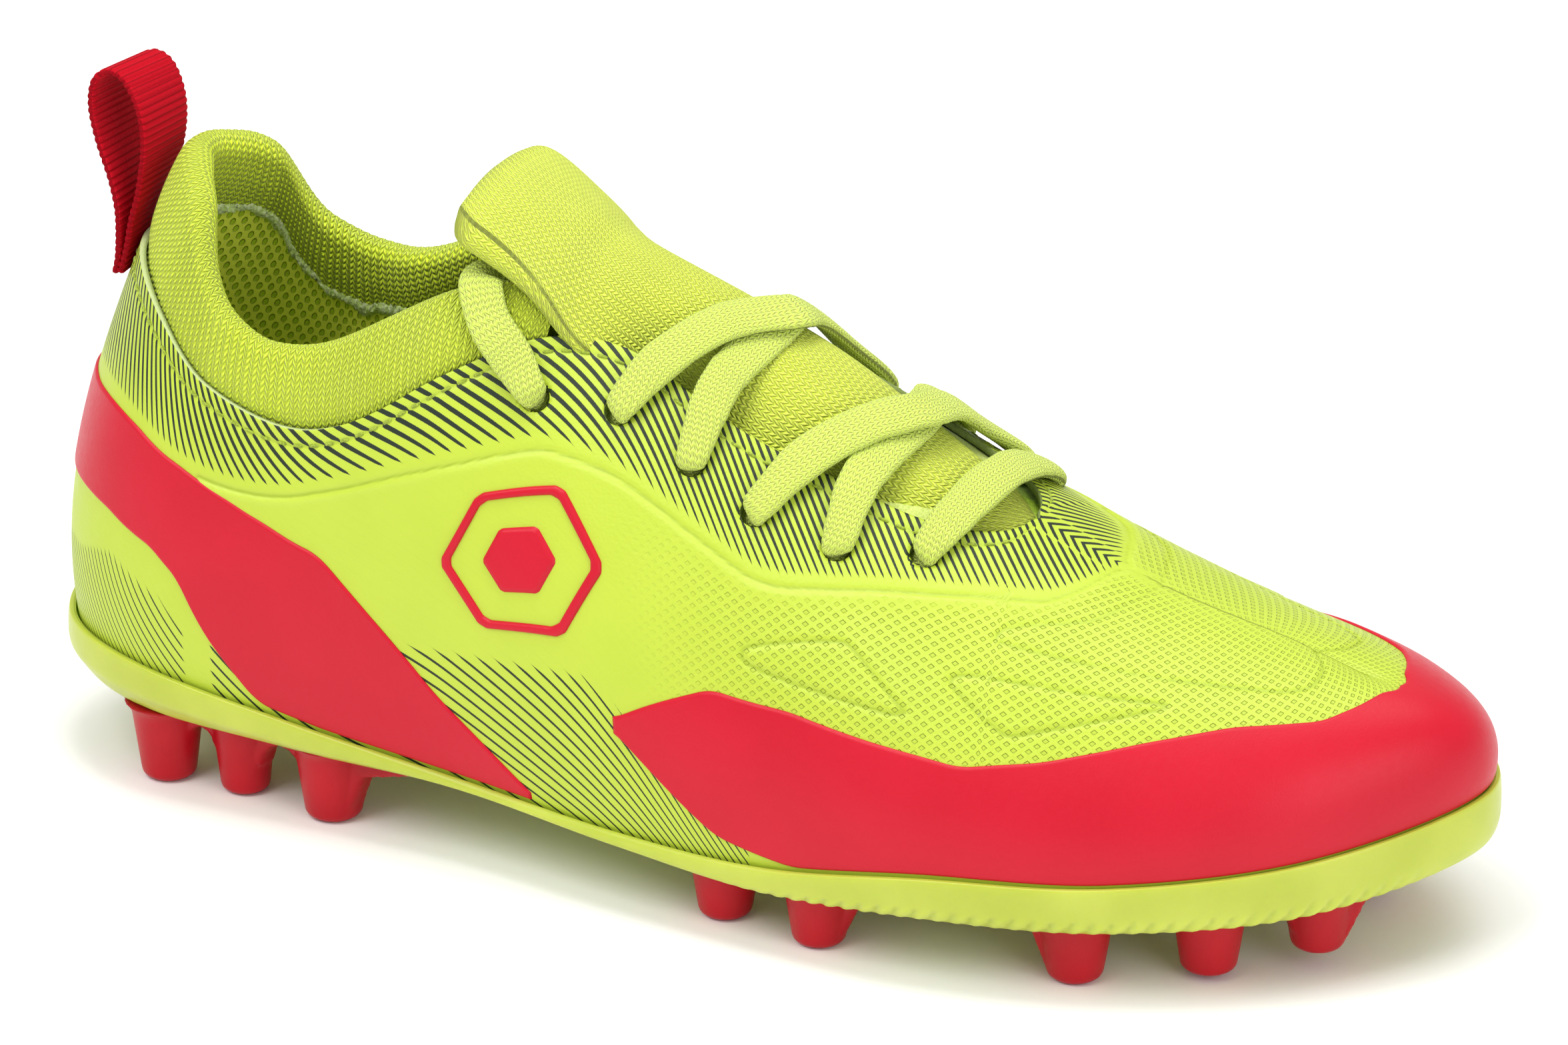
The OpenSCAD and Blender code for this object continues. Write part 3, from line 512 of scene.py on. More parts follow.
def fibre_finish(name, light, dark, size, depth):
    """Foam, board, felt or tape: a fine irregular surface."""
    g = Graph(name, light, 0.8, Sheen_Weight=0.2)
    cells = g.noise(size, 4.0)
    colour = g.between(g.step(cells, 0.35, 0.65), dark, light)
    return g.done(colour, None, g.bump(cells, depth, 0.9))


def cut_edge_finish():
    """Raw edge of the skin, pale round the heel and dark round the throat."""
    g = Graph("cut_edge", (0.5, 0.6, 0.3), 0.85)
    x = g.node("SeparateXYZ", g.node("TexCoord").outputs["Object"]).outputs[0]
    front = g.step(x, -0.075, -0.03)
    colour = g.between(front, (0.62, 0.70, 0.36), (0.16, 0.20, 0.06))
    colour = g.between(g.math("MULTIPLY", g.noise(0.4, 4.0), 0.6), colour, (0.30, 0.40, 0.10))
    return g.done(colour, None, g.bump(g.noise(0.3, 4.0), 0.15))


SKIN = skin_finish()
FILM = film_finish()
# The second colour of each knit is the painted shade between its yarns
KNIT = knit_finish("collar_knit", (0.80, 0.96, 0.050), (0.48, 0.60, 0.012), 1.5, 1.15, 0.60)
# Brighter copy of the collar knit for its inner faces: painted light that makes up for the shade inside the
# heel
KNIT_INSIDE_PAINTED_LIGHT = knit_finish("knit_inside_painted_light", (0.86, 1.0, 0.020), (0.60, 0.78, 0.008), 1.5, 1.15, 0.55)
TONGUE_KNIT = knit_finish("tongue_knit", (0.90, 1.0, 0.11), (0.60, 0.72, 0.035), 1.4, 1.1, 0.55)
MESH = mesh_finish()
LACE = lace_finish()
WEBBING = webbing_finish()
SOLE = moulded_finish("sole", (0.50, 0.57, 0.075), (0.43, 0.50, 0.050), 0.34, True)
STUD = moulded_finish("stud", (0.46, 0.004, 0.013), (0.38, 0.003, 0.009), 0.36, False)
FOAM = fibre_finish("raw_foam", (0.86, 0.95, 0.56), (0.62, 0.80, 0.22), 0.8, 0.5)
CUT_EDGE = cut_edge_finish()
THREAD = fibre_finish("thread", (0.36, 0.46, 0.03), (0.18, 0.25, 0.01), 0.3, 0.08)
HIDDEN = {
    "insole_board": fibre_finish("fibre_board", (0.46, 0.33, 0.20), (0.33, 0.23, 0.13), 0.7, 0.1),
    "sockliner": fibre_finish("sockliner", (0.10, 0.13, 0.04), (0.05, 0.07, 0.02), 0.5, 0.15),
    "heel_counter": fibre_finish("counter", (0.45, 0.45, 0.42), (0.35, 0.35, 0.33), 1.0, 0.05),
    "toe_puff": fibre_finish("puff", (0.50, 0.50, 0.47), (0.38, 0.38, 0.36), 1.0, 0.05),
    "eyestay_backer_outer": fibre_finish("backer_outer", (0.66, 0.76, 0.20), (0.5, 0.6, 0.12), 0.4, 0.1),
    "eyestay_backer_inner": fibre_finish("backer_inner", (0.66, 0.76, 0.20), (0.5, 0.6, 0.12), 0.4, 0.1),
    "vamp_lining": fibre_finish("vamp_mesh", (0.52, 0.74, 0.04), (0.34, 0.52, 0.02), 0.6, 0.2),
    "collar_foam": fibre_finish("collar_foam", (0.84, 0.88, 0.62), (0.7, 0.76, 0.45), 0.6, 0.2),
    "collar_seam_tape": fibre_finish("seam_tape", (0.60, 0.78, 0.24), (0.46, 0.64, 0.14), 1.2, 0.1),
    "aglet_outer": moulded_finish("tip_outer", (0.60, 0.88, 0.20), (0.5, 0.8, 0.14), 0.2, False),
    "aglet_inner": moulded_finish("tip_inner", (0.60, 0.88, 0.20), (0.5, 0.8, 0.14), 0.2, False),
}

# ---- Skin: relief, print and mesh ----

SKIN_T = 1.2
# How far over the cup's floor the skin's lower edge lies
SKIN_FOOT = 0.6
COLUMNS = 960
ROWS = 150
# Line of the moulded panel below the collar and throat: station and height
PANEL = [
    [0, 0.52], [1.5, 0.59], [2.25, 0.6], [3.15, 0.63], [3.88, 0.61], [4.62, 0.61], [4.85, 0.59], [5.4, 0.55],
    [5.93, 0.52], [6.12, 0.53], [6.43, 0.57], [6.98, 0.66], [7.5, 0.76], [7.68, 0.86], [7.85, 1.0], [10, 1.0],
]
# Outlines moulded into the forefoot, as stations and heights
LEAVES = [
    [
        (5.88, 0.39), (5.9, 0.41), (6.48, 0.48), (6.55, 0.48),
        (6.85, 0.39), (6.88, 0.38), (6.8, 0.37), (5.95, 0.38),
    ],
    [
        (7.1, 0.49), (7.22, 0.51), (8.18, 0.58), (8.2, 0.57),
        (8.12, 0.55), (7.48, 0.4), (7.4, 0.39), (7.1, 0.47),
    ],
]
TOP_PANEL = [
    (8.1, 1.0), (7.8, 0.79), (7.68, 0.74), (7.33, 0.65), (7.28, 0.62), (7.3, 0.61), (7.4, 0.61), (8.55, 0.68),
    (8.83, 0.69), (9.02, 0.73), (9.2, 0.86), (9.25, 1.0),
]


def rounded_line(corners, closed, steps=14):
    """Points along a line of corners, with each corner cut smooth twice."""
    line = np.array(corners, float)
    for _ in range(2):
        ahead = np.roll(line, -1, 0) if closed else line[1:]
        here = line if closed else line[:-1]
        cut = np.stack([here * 0.8 + ahead * 0.2, here * 0.2 + ahead * 0.8], 1).reshape(-1, 2)
        line = cut if closed else np.concatenate([line[:1], cut[1:-1], line[-1:]])
    if closed:
        line = np.concatenate([line, line[:1]])
    t = np.linspace(0, len(line) - 1, (len(line) - 1) * steps + 1)
    marks = np.arange(len(line))
    return np.column_stack([np.interp(t, marks, line[:, c]) for c in (0, 1)])


def distance_to(points, line):
    """Shortest distance from each point to a row of points."""
    best = np.full(len(points), 1e9)
    for spot_on_line in line:
        best = np.minimum(best, np.sum((points - spot_on_line) ** 2, 1))
    return np.sqrt(best)


def inside(k, v, outline):
    found = np.zeros(len(k), bool)
    for (ka, va), (kb, vb) in zip(outline, np.roll(outline, -1, 0)):
        crosses = (va > v) != (vb > v)
        found ^= crosses & (k < (kb - ka) * (v - va) / (vb - va + 1e-12) + ka)
    return found


def near(points, line, reach=4.0):
    """Distances for the points in reach of a line, and a large one for the rest."""
    lo, hi = line.min(0) - reach, line.max(0) + reach
    close = np.all((points > lo) & (points < hi), 1)
    found = np.full(len(points), 1e3)
    found[close] = distance_to(points[close], line)
    return found


def panel_line(s):
    table = np.array(PANEL)
    return np.mean([np.interp(s + d, table[:, 0], table[:, 1]) for d in np.linspace(-0.06, 0.06, 5)], axis=0)


# Depth and half width of the grooves moulded into the forefoot
GROOVE, GROOVE_R = 0.30, 0.42
# Stations between which the panel's line has a raised lip, and that lip's height, rise and fade
PANEL_FROM, PANEL_TO = 2.2, 7.84
LIP, LIP_RISE, LIP_FADE = 0.36, 0.9, 2.6
# Rise of the leaves, and depth of the groove that the stitch line lies in
PILLOW, STITCH_GROOVE = 0.14, 0.22


def relief_and_print(points, k, v):
    """Height of the moulded relief, and phase, width and dimple mask of the print, at each point."""
    s = side(k)
    relief = np.zeros(len(k))
    groove = np.zeros(len(k))
    marks = np.linspace(PANEL_FROM, PANEL_TO, 500)
    for mirrored in (False, True):
        turn = (lambda x: COUNT - x) if mirrored else (lambda x: x)
        here = (np.mod(k, COUNT) > HALF) == mirrored
        d = near(points, face(turn(marks), panel_line(marks)), 12.0)
        below = v < panel_line(s)
        lip = LIP * smooth(d / LIP_RISE) * np.exp(-d / LIP_FADE)
        relief = np.where(here & below & (s > PANEL_FROM), np.maximum(relief, lip), relief)
        groove = np.maximum(groove, np.exp(-((d / GROOVE_R) ** 2)) * here)
        for leaf in LEAVES:
            outline = rounded_line(leaf, True)
            d = near(points, face(turn(outline[:, 0]), outline[:, 1]))
            pillow = inside(s, v, outline) & here
            relief += np.where(pillow, PILLOW * smooth(np.minimum(d, 3)), 0)
            groove = np.maximum(groove, 1.1 * np.exp(-((d / GROOVE_R) ** 2)) * here)
        outline = rounded_line(TOP_PANEL, False)
        d = near(points, face(turn(outline[:, 0]), outline[:, 1]))
        groove = np.maximum(groove, 0.9 * np.exp(-((d / GROOVE_R) ** 2)))
    tall = np.interp(s, np.linspace(0, HALF, 200), height_of(np.linspace(0, HALF, 200)))
    under = (skin_top(k) - v) * tall
    relief -= GROOVE * groove
    relief -= STITCH_GROOVE * np.exp(-(((under - STITCH_IN) / 0.5) ** 2)) * (s < THROAT_END)
    return relief, print_of(k, v)


# Distance between stripes, their lean, and how far the stitch line lies below the skin's edge
STRIPE_PITCH = 2.2
STRIPE_SLANT = 0.98
STITCH_IN = 2.9
# Upper edges of the printed fields at the heel and the waist, as stations and heights, and their ink's share
HEEL_PRINT = [[0, 0.18], [1.18, 0.2], [1.62, 0.26], [2.12, 0.22], [2.33, 0.16], [2.34, -1]]
WAIST_PRINT = [[2.6, 0.28], [4.88, 0.28], [5.15, 0.23], [5.9, 0.05], [5.91, -1]]
WAIST_FROM = 2.5
HEEL_INK, WAIST_INK = 0.20, 0.24
# Length over which a stripe tapers at a field's edge
STRIPE_TAPER = 1.6


def field_below(edge, s, v, tall):
    """1 below a field's upper edge, 0 above it."""
    table = np.array(edge)
    return smooth((np.interp(s, table[:, 0], table[:, 1]) - v) * tall / STRIPE_TAPER)


def print_of(k, v):
    """Slanting stripes: their phase, their width and the mask of the moulded dimples."""
    s = side(k)
    marks = np.linspace(0, HALF, 400)
    middle = face(marks, 0.6)
    along = np.interp(s, marks, running(middle[:, None], 0)[:, 0])
    tall = np.interp(s, marks, height_of(marks))
    down = (1 - v) * tall
    phase = (along - STRIPE_SLANT * down) / STRIPE_PITCH
    low, top = panel_line(s), skin_top(k)
    over, under = (v - low) * tall, (top - v) * tall
    collar = 0.22 + 0.22 * smooth(over / 9)
    collar *= smooth((over - 1.9) / 1.0)
    collar *= 1 - 0.9 * np.exp(-(((under - STITCH_IN) / 0.3) ** 2))
    collar = np.where((over > 1.9) & (s < 7.9), collar, 0)
    heel = HEEL_INK * field_below(HEEL_PRINT, s, v, tall) * (s < HEEL_PRINT[-1][0])
    waist = WAIST_INK * field_below(WAIST_PRINT, s, v, tall) * (s > WAIST_FROM)
    width = np.maximum(np.maximum(collar, heel), waist)
    dimple = smooth((low - v) * tall / 5) * smooth((s - 4.9) / 1.6) * smooth((v - 0.2) / 0.15)
    dimple = np.maximum(dimple, 0.6 * smooth((s - 7.9) / 0.3) * smooth((v - 0.5) / 0.2))
    return np.stack([phase, width, dimple], -1)


EYELETS = [[6.8, 0.77], [6.4, 1], [5.9, 1.05], [5.5, 1], [5, 0.92], [4.55, 0.86]]
EYELET_R = 2.5


def punch(points, faces):
    """Removes the faces inside each eyelet and draws their edges on to its circle."""
    kept = np.ones(len(faces), bool)
    for sign in (-1, 1):
        for k, q in EYELETS:
            at, height = throat(k, sign * q)
            centre = face(at, height)
            normal = outward(np.array(at), np.array(height))
            apart = points - centre
            flat = apart - np.outer(apart @ normal, normal)
            r = np.linalg.norm(flat, axis=1) + 100 * (np.abs(apart @ normal) > 3)
            gone = np.mean(r[faces], 1) < EYELET_R
            kept &= ~gone
            rim = np.intersect1d(faces[gone].ravel(), faces[kept].ravel())
            points[rim] += flat[rim] * (EYELET_R / r[rim] - 1)[:, None]
    return faces[kept]


# Station where the toe is round without smoothing, and the stretch before it over which smoothing fades
RIDGE_ENDS, RIDGE_FADE = 9.3, 0.7
# Height from which the vamp is smoothed across its ridge, and how often
RIDGE_FROM, RIDGE_PASSES = 0.72, 120


def smooth_ridge(points, v, shut):
    """Rounds the line where the two sides of the vamp meet over the toes."""
    first = np.argmax(v[shut].min(0) > RIDGE_FROM)
    for i in shut[shut <= COLUMNS // 2]:
        j = (COLUMNS - i) % COLUMNS
        row = np.concatenate([points[i, first:], points[j, first:-1][::-1]])
        sharp = row.copy()
        for _ in range(RIDGE_PASSES):
            row[1:-1] += 0.25 * (row[:-2] + row[2:] - 2 * row[1:-1])
        row = mix(sharp, row, smooth((RIDGE_ENDS - i * COUNT / COLUMNS) / RIDGE_FADE))
        m = points.shape[1] - first
        points[i, first:] = row[:m]
        points[j, first:] = row[m - 1:][::-1] if i != j else row[:m]


def make_skin():
    k = np.arange(COLUMNS) * COUNT / COLUMNS
    low, top = foot_share(k, SKIN_FOOT), skin_top(k)
    v = low[:, None] + (top - low)[:, None] * np.linspace(0, 1, ROWS + 1)[None, :]
    kk = np.broadcast_to(k[:, None], v.shape)
    points = face(kk, v)
    shut = np.flatnonzero(side(k) >= THROAT_END)
    smooth_ridge(points, v, shut)
    relief, print_data = relief_and_print(points.reshape(-1, 3), kk.ravel(), v.ravel())
    faces = grid_faces(COLUMNS, ROWS + 1, wrap_u=True)
    flow = flow_of(points)
    flow[..., 2] = relief.reshape(v.shape)
    ends = np.arange(COLUMNS * (ROWS + 1)).reshape(COLUMNS, ROWS + 1)
    for i in shut[shut > COLUMNS // 2]:
        ends[i, -1] = ends[(COLUMNS - i) % COLUMNS, -1]
    faces = ends.ravel()[faces]
    normal = outward(kk, v)
    for i in shut:
        j = (COLUMNS - i) % COLUMNS
        if i <= j:
            joined = unit(normal[i, -1] + normal[j, -1])
            normal[i, -1] = normal[j, -1] = joined
    points = points + normal * relief.reshape(v.shape)[..., None]
    flat = points.reshape(-1, 3)
    faces = punch(flat, faces)
    skin = piece("skin", flat, faces, [SKIN, CUT_EDGE], "boot", "skin_lime",
                 print=print_data, flow=flow.reshape(-1, 3))
    wall = skin.modifiers.new("thickness", "SOLIDIFY")
    wall.thickness = SKIN_T * MM
    wall.offset = -1
    wall.material_offset_rim = 1
    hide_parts("skin_upper")
    return skin


make_skin()

# ---- Red films and the badge ----

# Height of the film over the skin, width of its rounded rim, and its thickness
FILM_LIFT, FILM_RIM, FILM_T = 0.45, 0.7, 0.3
# Gap that keeps the films' rims off the skin
FILM_GAP = 0.02
RAND = [
    [5.05, 0.2, 0.22], [5.3, 0.145, 0.26], [5.7, 0.055, 0.32], [6.2, 0.01, 0.325], [6.7, 0.01, 0.305],
    [7.2, 0.01, 0.29], [7.6, 0.01, 0.345], [8.1, 0.01, 0.45], [8.55, 0.01, 0.535], [9.05, 0.01, 0.58],
    [9.3, 0.01, 0.66], [9.6, 0.01, 0.78], [10, 0.01, 0.85],
]
HEEL_BAND = [
    [0, 0.31, 0.52], [0.7, 0.32, 0.54], [1.5, 0.35, 0.59], [2, 0.34, 0.6], [2.25, 0.29, 0.59],
    [2.5, 0.15, 0.575], [2.8, 0.02, 0.54], [3.2, 0.01, 0.47], [3.5, 0.01, 0.34], [3.9, 0.01, 0.18],
    [4.5, 0.01, 0.012],
]


def film(name, node, k, table):
    """Thin film whose rim curves down to the skin."""
    rows = 60
    low, high = eased(table, side(k), 1, 0.07), eased(table, side(k), 2, 0.07)
    tall = height_of(k)
    share = (1 - np.cos(np.linspace(0, math.pi, rows + 1))) / 2
    v = low[:, None] + (high - low)[:, None] * share[None, :]
    inset = np.minimum(v - low[:, None], high[:, None] - v) * tall[:, None]
    run = running(face(k, (low + high) / 2)[:, None], 0)[:, 0]
    ends = np.minimum(run, run[-1] - run)
    inset = np.minimum(inset, ends[:, None])
    lift = FILM_LIFT * np.sqrt(1 - (1 - clamp(inset / FILM_RIM)) ** 2) + FILM_GAP
    kk = np.broadcast_to(k[:, None], v.shape)
    points = spot(kk, v, lift)
    made = piece(name, points, grid_faces(len(k), rows + 1), [FILM], "boot", "film_red")
    backing = made.modifiers.new("thickness", "SOLIDIFY")
    backing.thickness = FILM_T * MM
    backing.offset = -1
    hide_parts(node)


RAND_FROM, BAND_TO = 5.05, 4.45
film("toe_rand", "toe_film", np.linspace(RAND_FROM, COUNT - RAND_FROM, 640), RAND)
film("heel_band", "heel_band_film", np.linspace(-BAND_TO, BAND_TO, 560), HEEL_BAND)

BADGE = (4.5, 0.44)
BADGE_REACH = (0.52, 0.13)
BADGE_SIDES = 6
BADGE_LIFT = 0.6
# Where the hexagon's corners are cut, and its reach in millimetres
BADGE_CORNER, BADGE_MM = 0.965, 14


def badge_radius(a):
    """Radius of a hexagon with rounded corners, about 1."""
    sector = 2 * math.pi / BADGE_SIDES
    turn = np.mod(a, sector) - sector / 2
    flat = math.cos(sector / 2) / np.cos(turn)
    return np.minimum(flat, BADGE_CORNER)


def badge_part(name, node, inner, outer):
    a = np.linspace(0, 2 * math.pi, 240, endpoint=False)[:, None]
    t = np.linspace(0, 1, 13)[None, :]
    r = badge_radius(a) * (inner + (outer - inner) * t)
    edge = np.minimum(t if inner > 0 else 1.0, 1 - t) * (outer - inner) * BADGE_MM
    lift = FILM_GAP + BADGE_LIFT * np.sqrt(1 - (1 - clamp(edge / FILM_RIM)) ** 2)
    k = BADGE[0] + BADGE_REACH[0] * r * np.cos(a)
    v = BADGE[1] + BADGE_REACH[1] * r * np.sin(a)
    points = spot(k, v, np.broadcast_to(lift, k.shape))
    made = piece(name, points, grid_faces(*k.shape, wrap_u=True)[:, ::-1], [FILM], "boot", "film_red")
    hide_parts(node)


badge_part("badge_hexagon", "badge_ring", 0.87, 1.0)
badge_part("badge_centre", "badge_core", 0.0, 0.45)

# ---- Sole ----


# Profile of the sole: how far out its wall stands, and its height over the bite line
SOLE_LIP = [[0.3, -0.5], [0.55, 0.15], [1.0, 0.25], [1.5, -0.1]]
# Further down: how far out, and how far down as a share of the wall
SOLE_WALL = [[1.75, 0.35], [1.6, 0.7], [0.6, 0.95]]
# Under the corner: how far out, and how far down as a share of the way to the bottom
SOLE_UNDER = [[-1.4, 0.5], [-3.6, 0.85], [-6.0, 1.0]]


def sole_section(k):
    """Offsets and heights of the wall, from the cup over the lip and down to the plate's bottom."""
    s = station(k)
    bite, bottom, cup = s[:, 2], s[:, 11], s[:, 12]
    corner = s[:, 10] + HEEL_CORNER * smooth((3.2 - side(k)) / 1.2)
    rows = [(SOLE_LIP[0][0], bite - cup)]
    rows += [(out, bite + up) for out, up in SOLE_LIP]
    rows += [(out, bite - down * (bite - corner)) for out, down in SOLE_WALL]
    rows += [(out, mix(corner, bottom, down)) for out, down in SOLE_UNDER]
    return np.stack([np.stack([np.full_like(z, out), z], -1) for out, z in rows], 1)


# Depth and pitch of the flutes in the toe's wall, the stations they lie between, and how much higher the
# wall's corner lies over the heel studs
FLUTE, FLUTE_PITCH = 0.9, 3.2
FLUTED = (5.6, 9.8)
HEEL_CORNER = 1.2


def make_sole():
    n, fine = 900, 6
    k = np.arange(n) * COUNT / n
    marks = sole_section(k)
    t = np.linspace(0, marks.shape[1] - 1, (marks.shape[1] - 1) * fine + 1)
    section = np.stack([through(row, t) for row in marks], 0)
    s, out = station(k), across(k)
    along = running(s[:, None, 0:3], 0)[:, 0]
    share = clamp((t - 4.5) / 3.5)[None, :]
    flute_zone = smooth((side(k) - FLUTED[0]) / 0.8) * smooth((FLUTED[1] - side(k)) / 0.8)
    slope = np.abs(np.sin((along[:, None] / FLUTE_PITCH + share * 1.1) * math.pi))
    band = smooth((share - 0.35) / 0.2) * smooth((1.0 - share) / 0.15)
    flute = FLUTE * flute_zone[:, None] * band * (slope - 0.6)
    reach = section[..., 0] + flute
    points = s[:, None, 0:3] * np.array([1, 1, 0]) + out[:, None] * reach[..., None]
    points[..., 2] = section[..., 1]
    wall_faces = grid_faces(n, len(t), wrap_u=True)[:, ::-1]
    half_n, steps = n // 2, 24
    parts, faces, base = [points.reshape(-1, 3)], [wall_faces], points.shape[0] * points.shape[1]
    for column, turned in ((-1, True), (0, False)):
        outer = points[: half_n + 1, column]
        inner = points[(n - np.arange(half_n + 1)) % n, column]
        q = np.linspace(0, 1, steps + 1)[None, :, None]
        fill = outer[:, None] * (1 - q) + inner[:, None] * q
        made = grid_faces(half_n + 1, steps + 1)
        faces.append((made if not turned else made[:, ::-1]) + base)
        parts.append(fill.reshape(-1, 3))
        base += fill.shape[0] * fill.shape[1]
    sole = piece("outsole", np.concatenate(parts), np.concatenate(faces), [SOLE], "boot", "outsole_lime")
    seam = bmesh.new()
    seam.from_mesh(sole.data)
    bmesh.ops.remove_doubles(seam, verts=seam.verts, dist=0.02 * MM)
    bmesh.ops.dissolve_degenerate(seam, edges=seam.edges, dist=0.01 * MM)
    bmesh.ops.recalc_face_normals(seam, faces=seam.faces)
    seam.to_mesh(sole.data)
    seam.free()
    sole.data.shade_smooth()
    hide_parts("outsole_plate")


make_sole()


# How far a stud's sides move out once the remesh has smoothed it
STUD_SWELL = 0.75
STUD_VOXEL, STUD_PASSES = 0.45, 9


def fatten(made):
    """Swells a stud sideways, and leaves its ends at their heights."""
    mesh = made.data
    count = len(mesh.vertices)
    points, normals = np.empty(count * 3), np.empty(count * 3)
    mesh.vertices.foreach_get("co", points)
    mesh.vertices.foreach_get("normal", normals)
    points = points.reshape(-1, 3)
    points[:, :2] += normals.reshape(-1, 3)[:, :2] * STUD_SWELL * MM
    mesh.vertices.foreach_set("co", points.ravel())
    mesh.update()


def make_studs():
    """Moulded studs: the frame's own, remeshed so that their webs and roots run into each other."""
    for node in [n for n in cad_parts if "stud" in n]:
        made = bpy.data.objects.new(node + "_moulded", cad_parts[node].data.copy())
        bpy.context.scene.collection.objects.link(made)
        soften(made, STUD_VOXEL * MM, STUD_PASSES)
        fatten(made)
        made.data.materials.clear()
        made.data.materials.append(STUD)
        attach(made, "boot")
        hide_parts(node)


make_studs()

# ---- Collar, raw edge and lining ----

COLLAR_END = 4.55
CROWN_R = 2.9
CROWN_D = 3.7
# How far the crown stands over the top line, and the stations over which it comes down in front
CROWN_RISE = 2.4
CROWN_FADES = (3.0, 4.4)
# How far down inside the knit reaches, at the back of the heel and at its front ends
FOLD_BACK, FOLD_FRONT = 10.5, 8.5
# How far the knit reaches down under the skin, and how deep it lies there
TAIL, TAIL_DEEP = 5.0, 1.5
# How far the padding swells outward, and how far the inner side hollows
PUFF, HOLLOW = 0.9, 0.5
# Distance between the knit's ribs and their height
RIB_PITCH_KNIT, RIB_KNIT = 1.5, 0.10


def fold_depth(k):
    return mix(FOLD_BACK, FOLD_FRONT, smooth((side(k) - 0.8) / 2.8))


def collar_path(k):
    """Distance below the top line and depth, from under the skin's edge over the crown and down inside."""
    tall = height_of(k)
    edge = (1 - skin_top(k)) * tall
    rows = []
    for t in np.linspace(0, 1, 6):
        rows.append((edge + TAIL * (1 - t), TAIL_DEEP + 0.2 * (1 - t)))
    crown = CROWN_R - CROWN_RISE * smooth((CROWN_FADES[1] - side(k)) / (CROWN_FADES[1] - CROWN_FADES[0]))
    for t in np.linspace(0.04, 1, 40):
        puff = PUFF * np.sin(math.pi * t**0.8) ** 0.8
        rows.append((mix(edge, crown, t), mix(TAIL_DEEP, CROWN_D - CROWN_R, t) - puff))
    for turn in np.linspace(0.1, math.pi, 16):
        rows.append((crown - CROWN_R * math.sin(turn), CROWN_D - CROWN_R * math.cos(turn)))
    raw = fold_depth(k) + ripple(k * 5, 3)
    for t in np.linspace(0.03, 1, 34):
        dip = HOLLOW * math.sin(math.pi * t)
        rows.append((mix(crown, raw, t), CROWN_D + CROWN_R - 1.2 * t + dip))
    below = np.stack([r[0] for r in rows], -1)
    depth = np.stack([np.broadcast_to(r[1], tall.shape) for r in rows], -1)
    return below, depth, tall


def make_collar():
    n = 620
    k = np.linspace(-COLLAR_END, COLLAR_END, n)
    below, depth, tall = collar_path(k)
    below = below + 0.35 * ripple(k * 2.2, 5)[:, None] * (below < 9)
    depth = depth + 0.3 * ripple(k * 3.1, 8)[:, None]
    v = 1 - below / tall[:, None]
    kk = np.broadcast_to(k[:, None], v.shape)
    points = spot(kk, v, -depth)
    flow = flow_of(points)
    rib = RIB_KNIT * np.cos(flow[..., 0] * 2 * math.pi / RIB_PITCH_KNIT)
    points = points + outward(kk, v) * rib[..., None] * np.sign(CROWN_D - depth)[..., None]
    faces = grid_faces(n, v.shape[1])
    collar = piece("collar_padded", points, faces, [KNIT, KNIT_INSIDE_PAINTED_LIGHT], "boot", "knit_lime",
                   flow=flow.reshape(-1, 3))
    # Faces inside the heel take the knit's brighter copy, painted light for the shade there
    inner = depth[:-1, :-1] > CROWN_D + 1
    collar.data.polygons.foreach_set("material_index", inner.ravel().astype(np.int32))
    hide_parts("collar_knit", "collar_foam")
    make_raw_edge(k, v[:, -1], tall, depth[:, -1])


# How far the torn foam shows below the knit, how much that varies, and how rough it is
TORN, TORN_VARIES, TORN_ROUGH = 3.2, 1.1, 0.22


def make_raw_edge(k, v_raw, tall, depth):
    """Torn foam below the knit's inner edge."""
    rows = np.linspace(0, 1, 9)
    drop = TORN + TORN_VARIES * ripple(k * 9, 11)
    rough = np.random.default_rng(21).normal(0, TORN_ROUGH, (len(k), len(rows)))
    below = -0.4 + rows[None, :] * drop[:, None]
    v = v_raw[:, None] - below / tall[:, None]
    deep = depth[:, None] + 0.5 * np.sin(rows * math.pi)[None, :] - 1.6 * rows[None, :] ** 2 + rough
    kk = np.broadcast_to(k[:, None], v.shape)
    points = spot(kk, v, -deep)
    piece("collar_raw_edge", points, grid_faces(len(k), len(rows)), [FOAM], "boot", "foam_white")


# Station where the lining ends, how far it reaches up behind the knit, and how far over the cup it starts
LINING_END = 4.4
LINING_TUCK, LINING_FOOT = 5, 4.2
# Depth of the lining at its foot, and how much deeper it lies behind the collar
LINING_DEEP, LINING_SINKS = 2.6, 1.6


def make_lining():
    n, rows = 520, 90
    k = np.linspace(-LINING_END, LINING_END, n)
    tall = height_of(k)
    high = 1 - (fold_depth(k) - LINING_TUCK) / tall
    low = foot_share(k, LINING_FOOT)
    share = np.linspace(0, 1, rows + 1)
    v = low[:, None] + (high - low)[:, None] * share[None, :]
    kk = np.broadcast_to(k[:, None], v.shape)
    depth = LINING_DEEP + LINING_SINKS * smooth((share - 0.5) / 0.5)
    points = spot(kk, v, -depth[None, :] * np.ones((n, 1)))
    faces = grid_faces(n, rows + 1)[:, ::-1]
    lining = piece("heel_mesh_lining", points, faces, [MESH], "boot", "lining_mesh",
                   flow=flow_of(points).reshape(-1, 3))
    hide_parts("heel_lining")


make_collar()
make_lining()

# ---- Tongue ----

# Station and height over the top line of the ridge, from the vamp up to the flap
TONGUE_BASE = [[7.45, -3.2], [7.2, -2], [7, -0.4], [6.5, 1.3], [6, 2.5], [5.5, 2.6], [5.05, 2.5]]
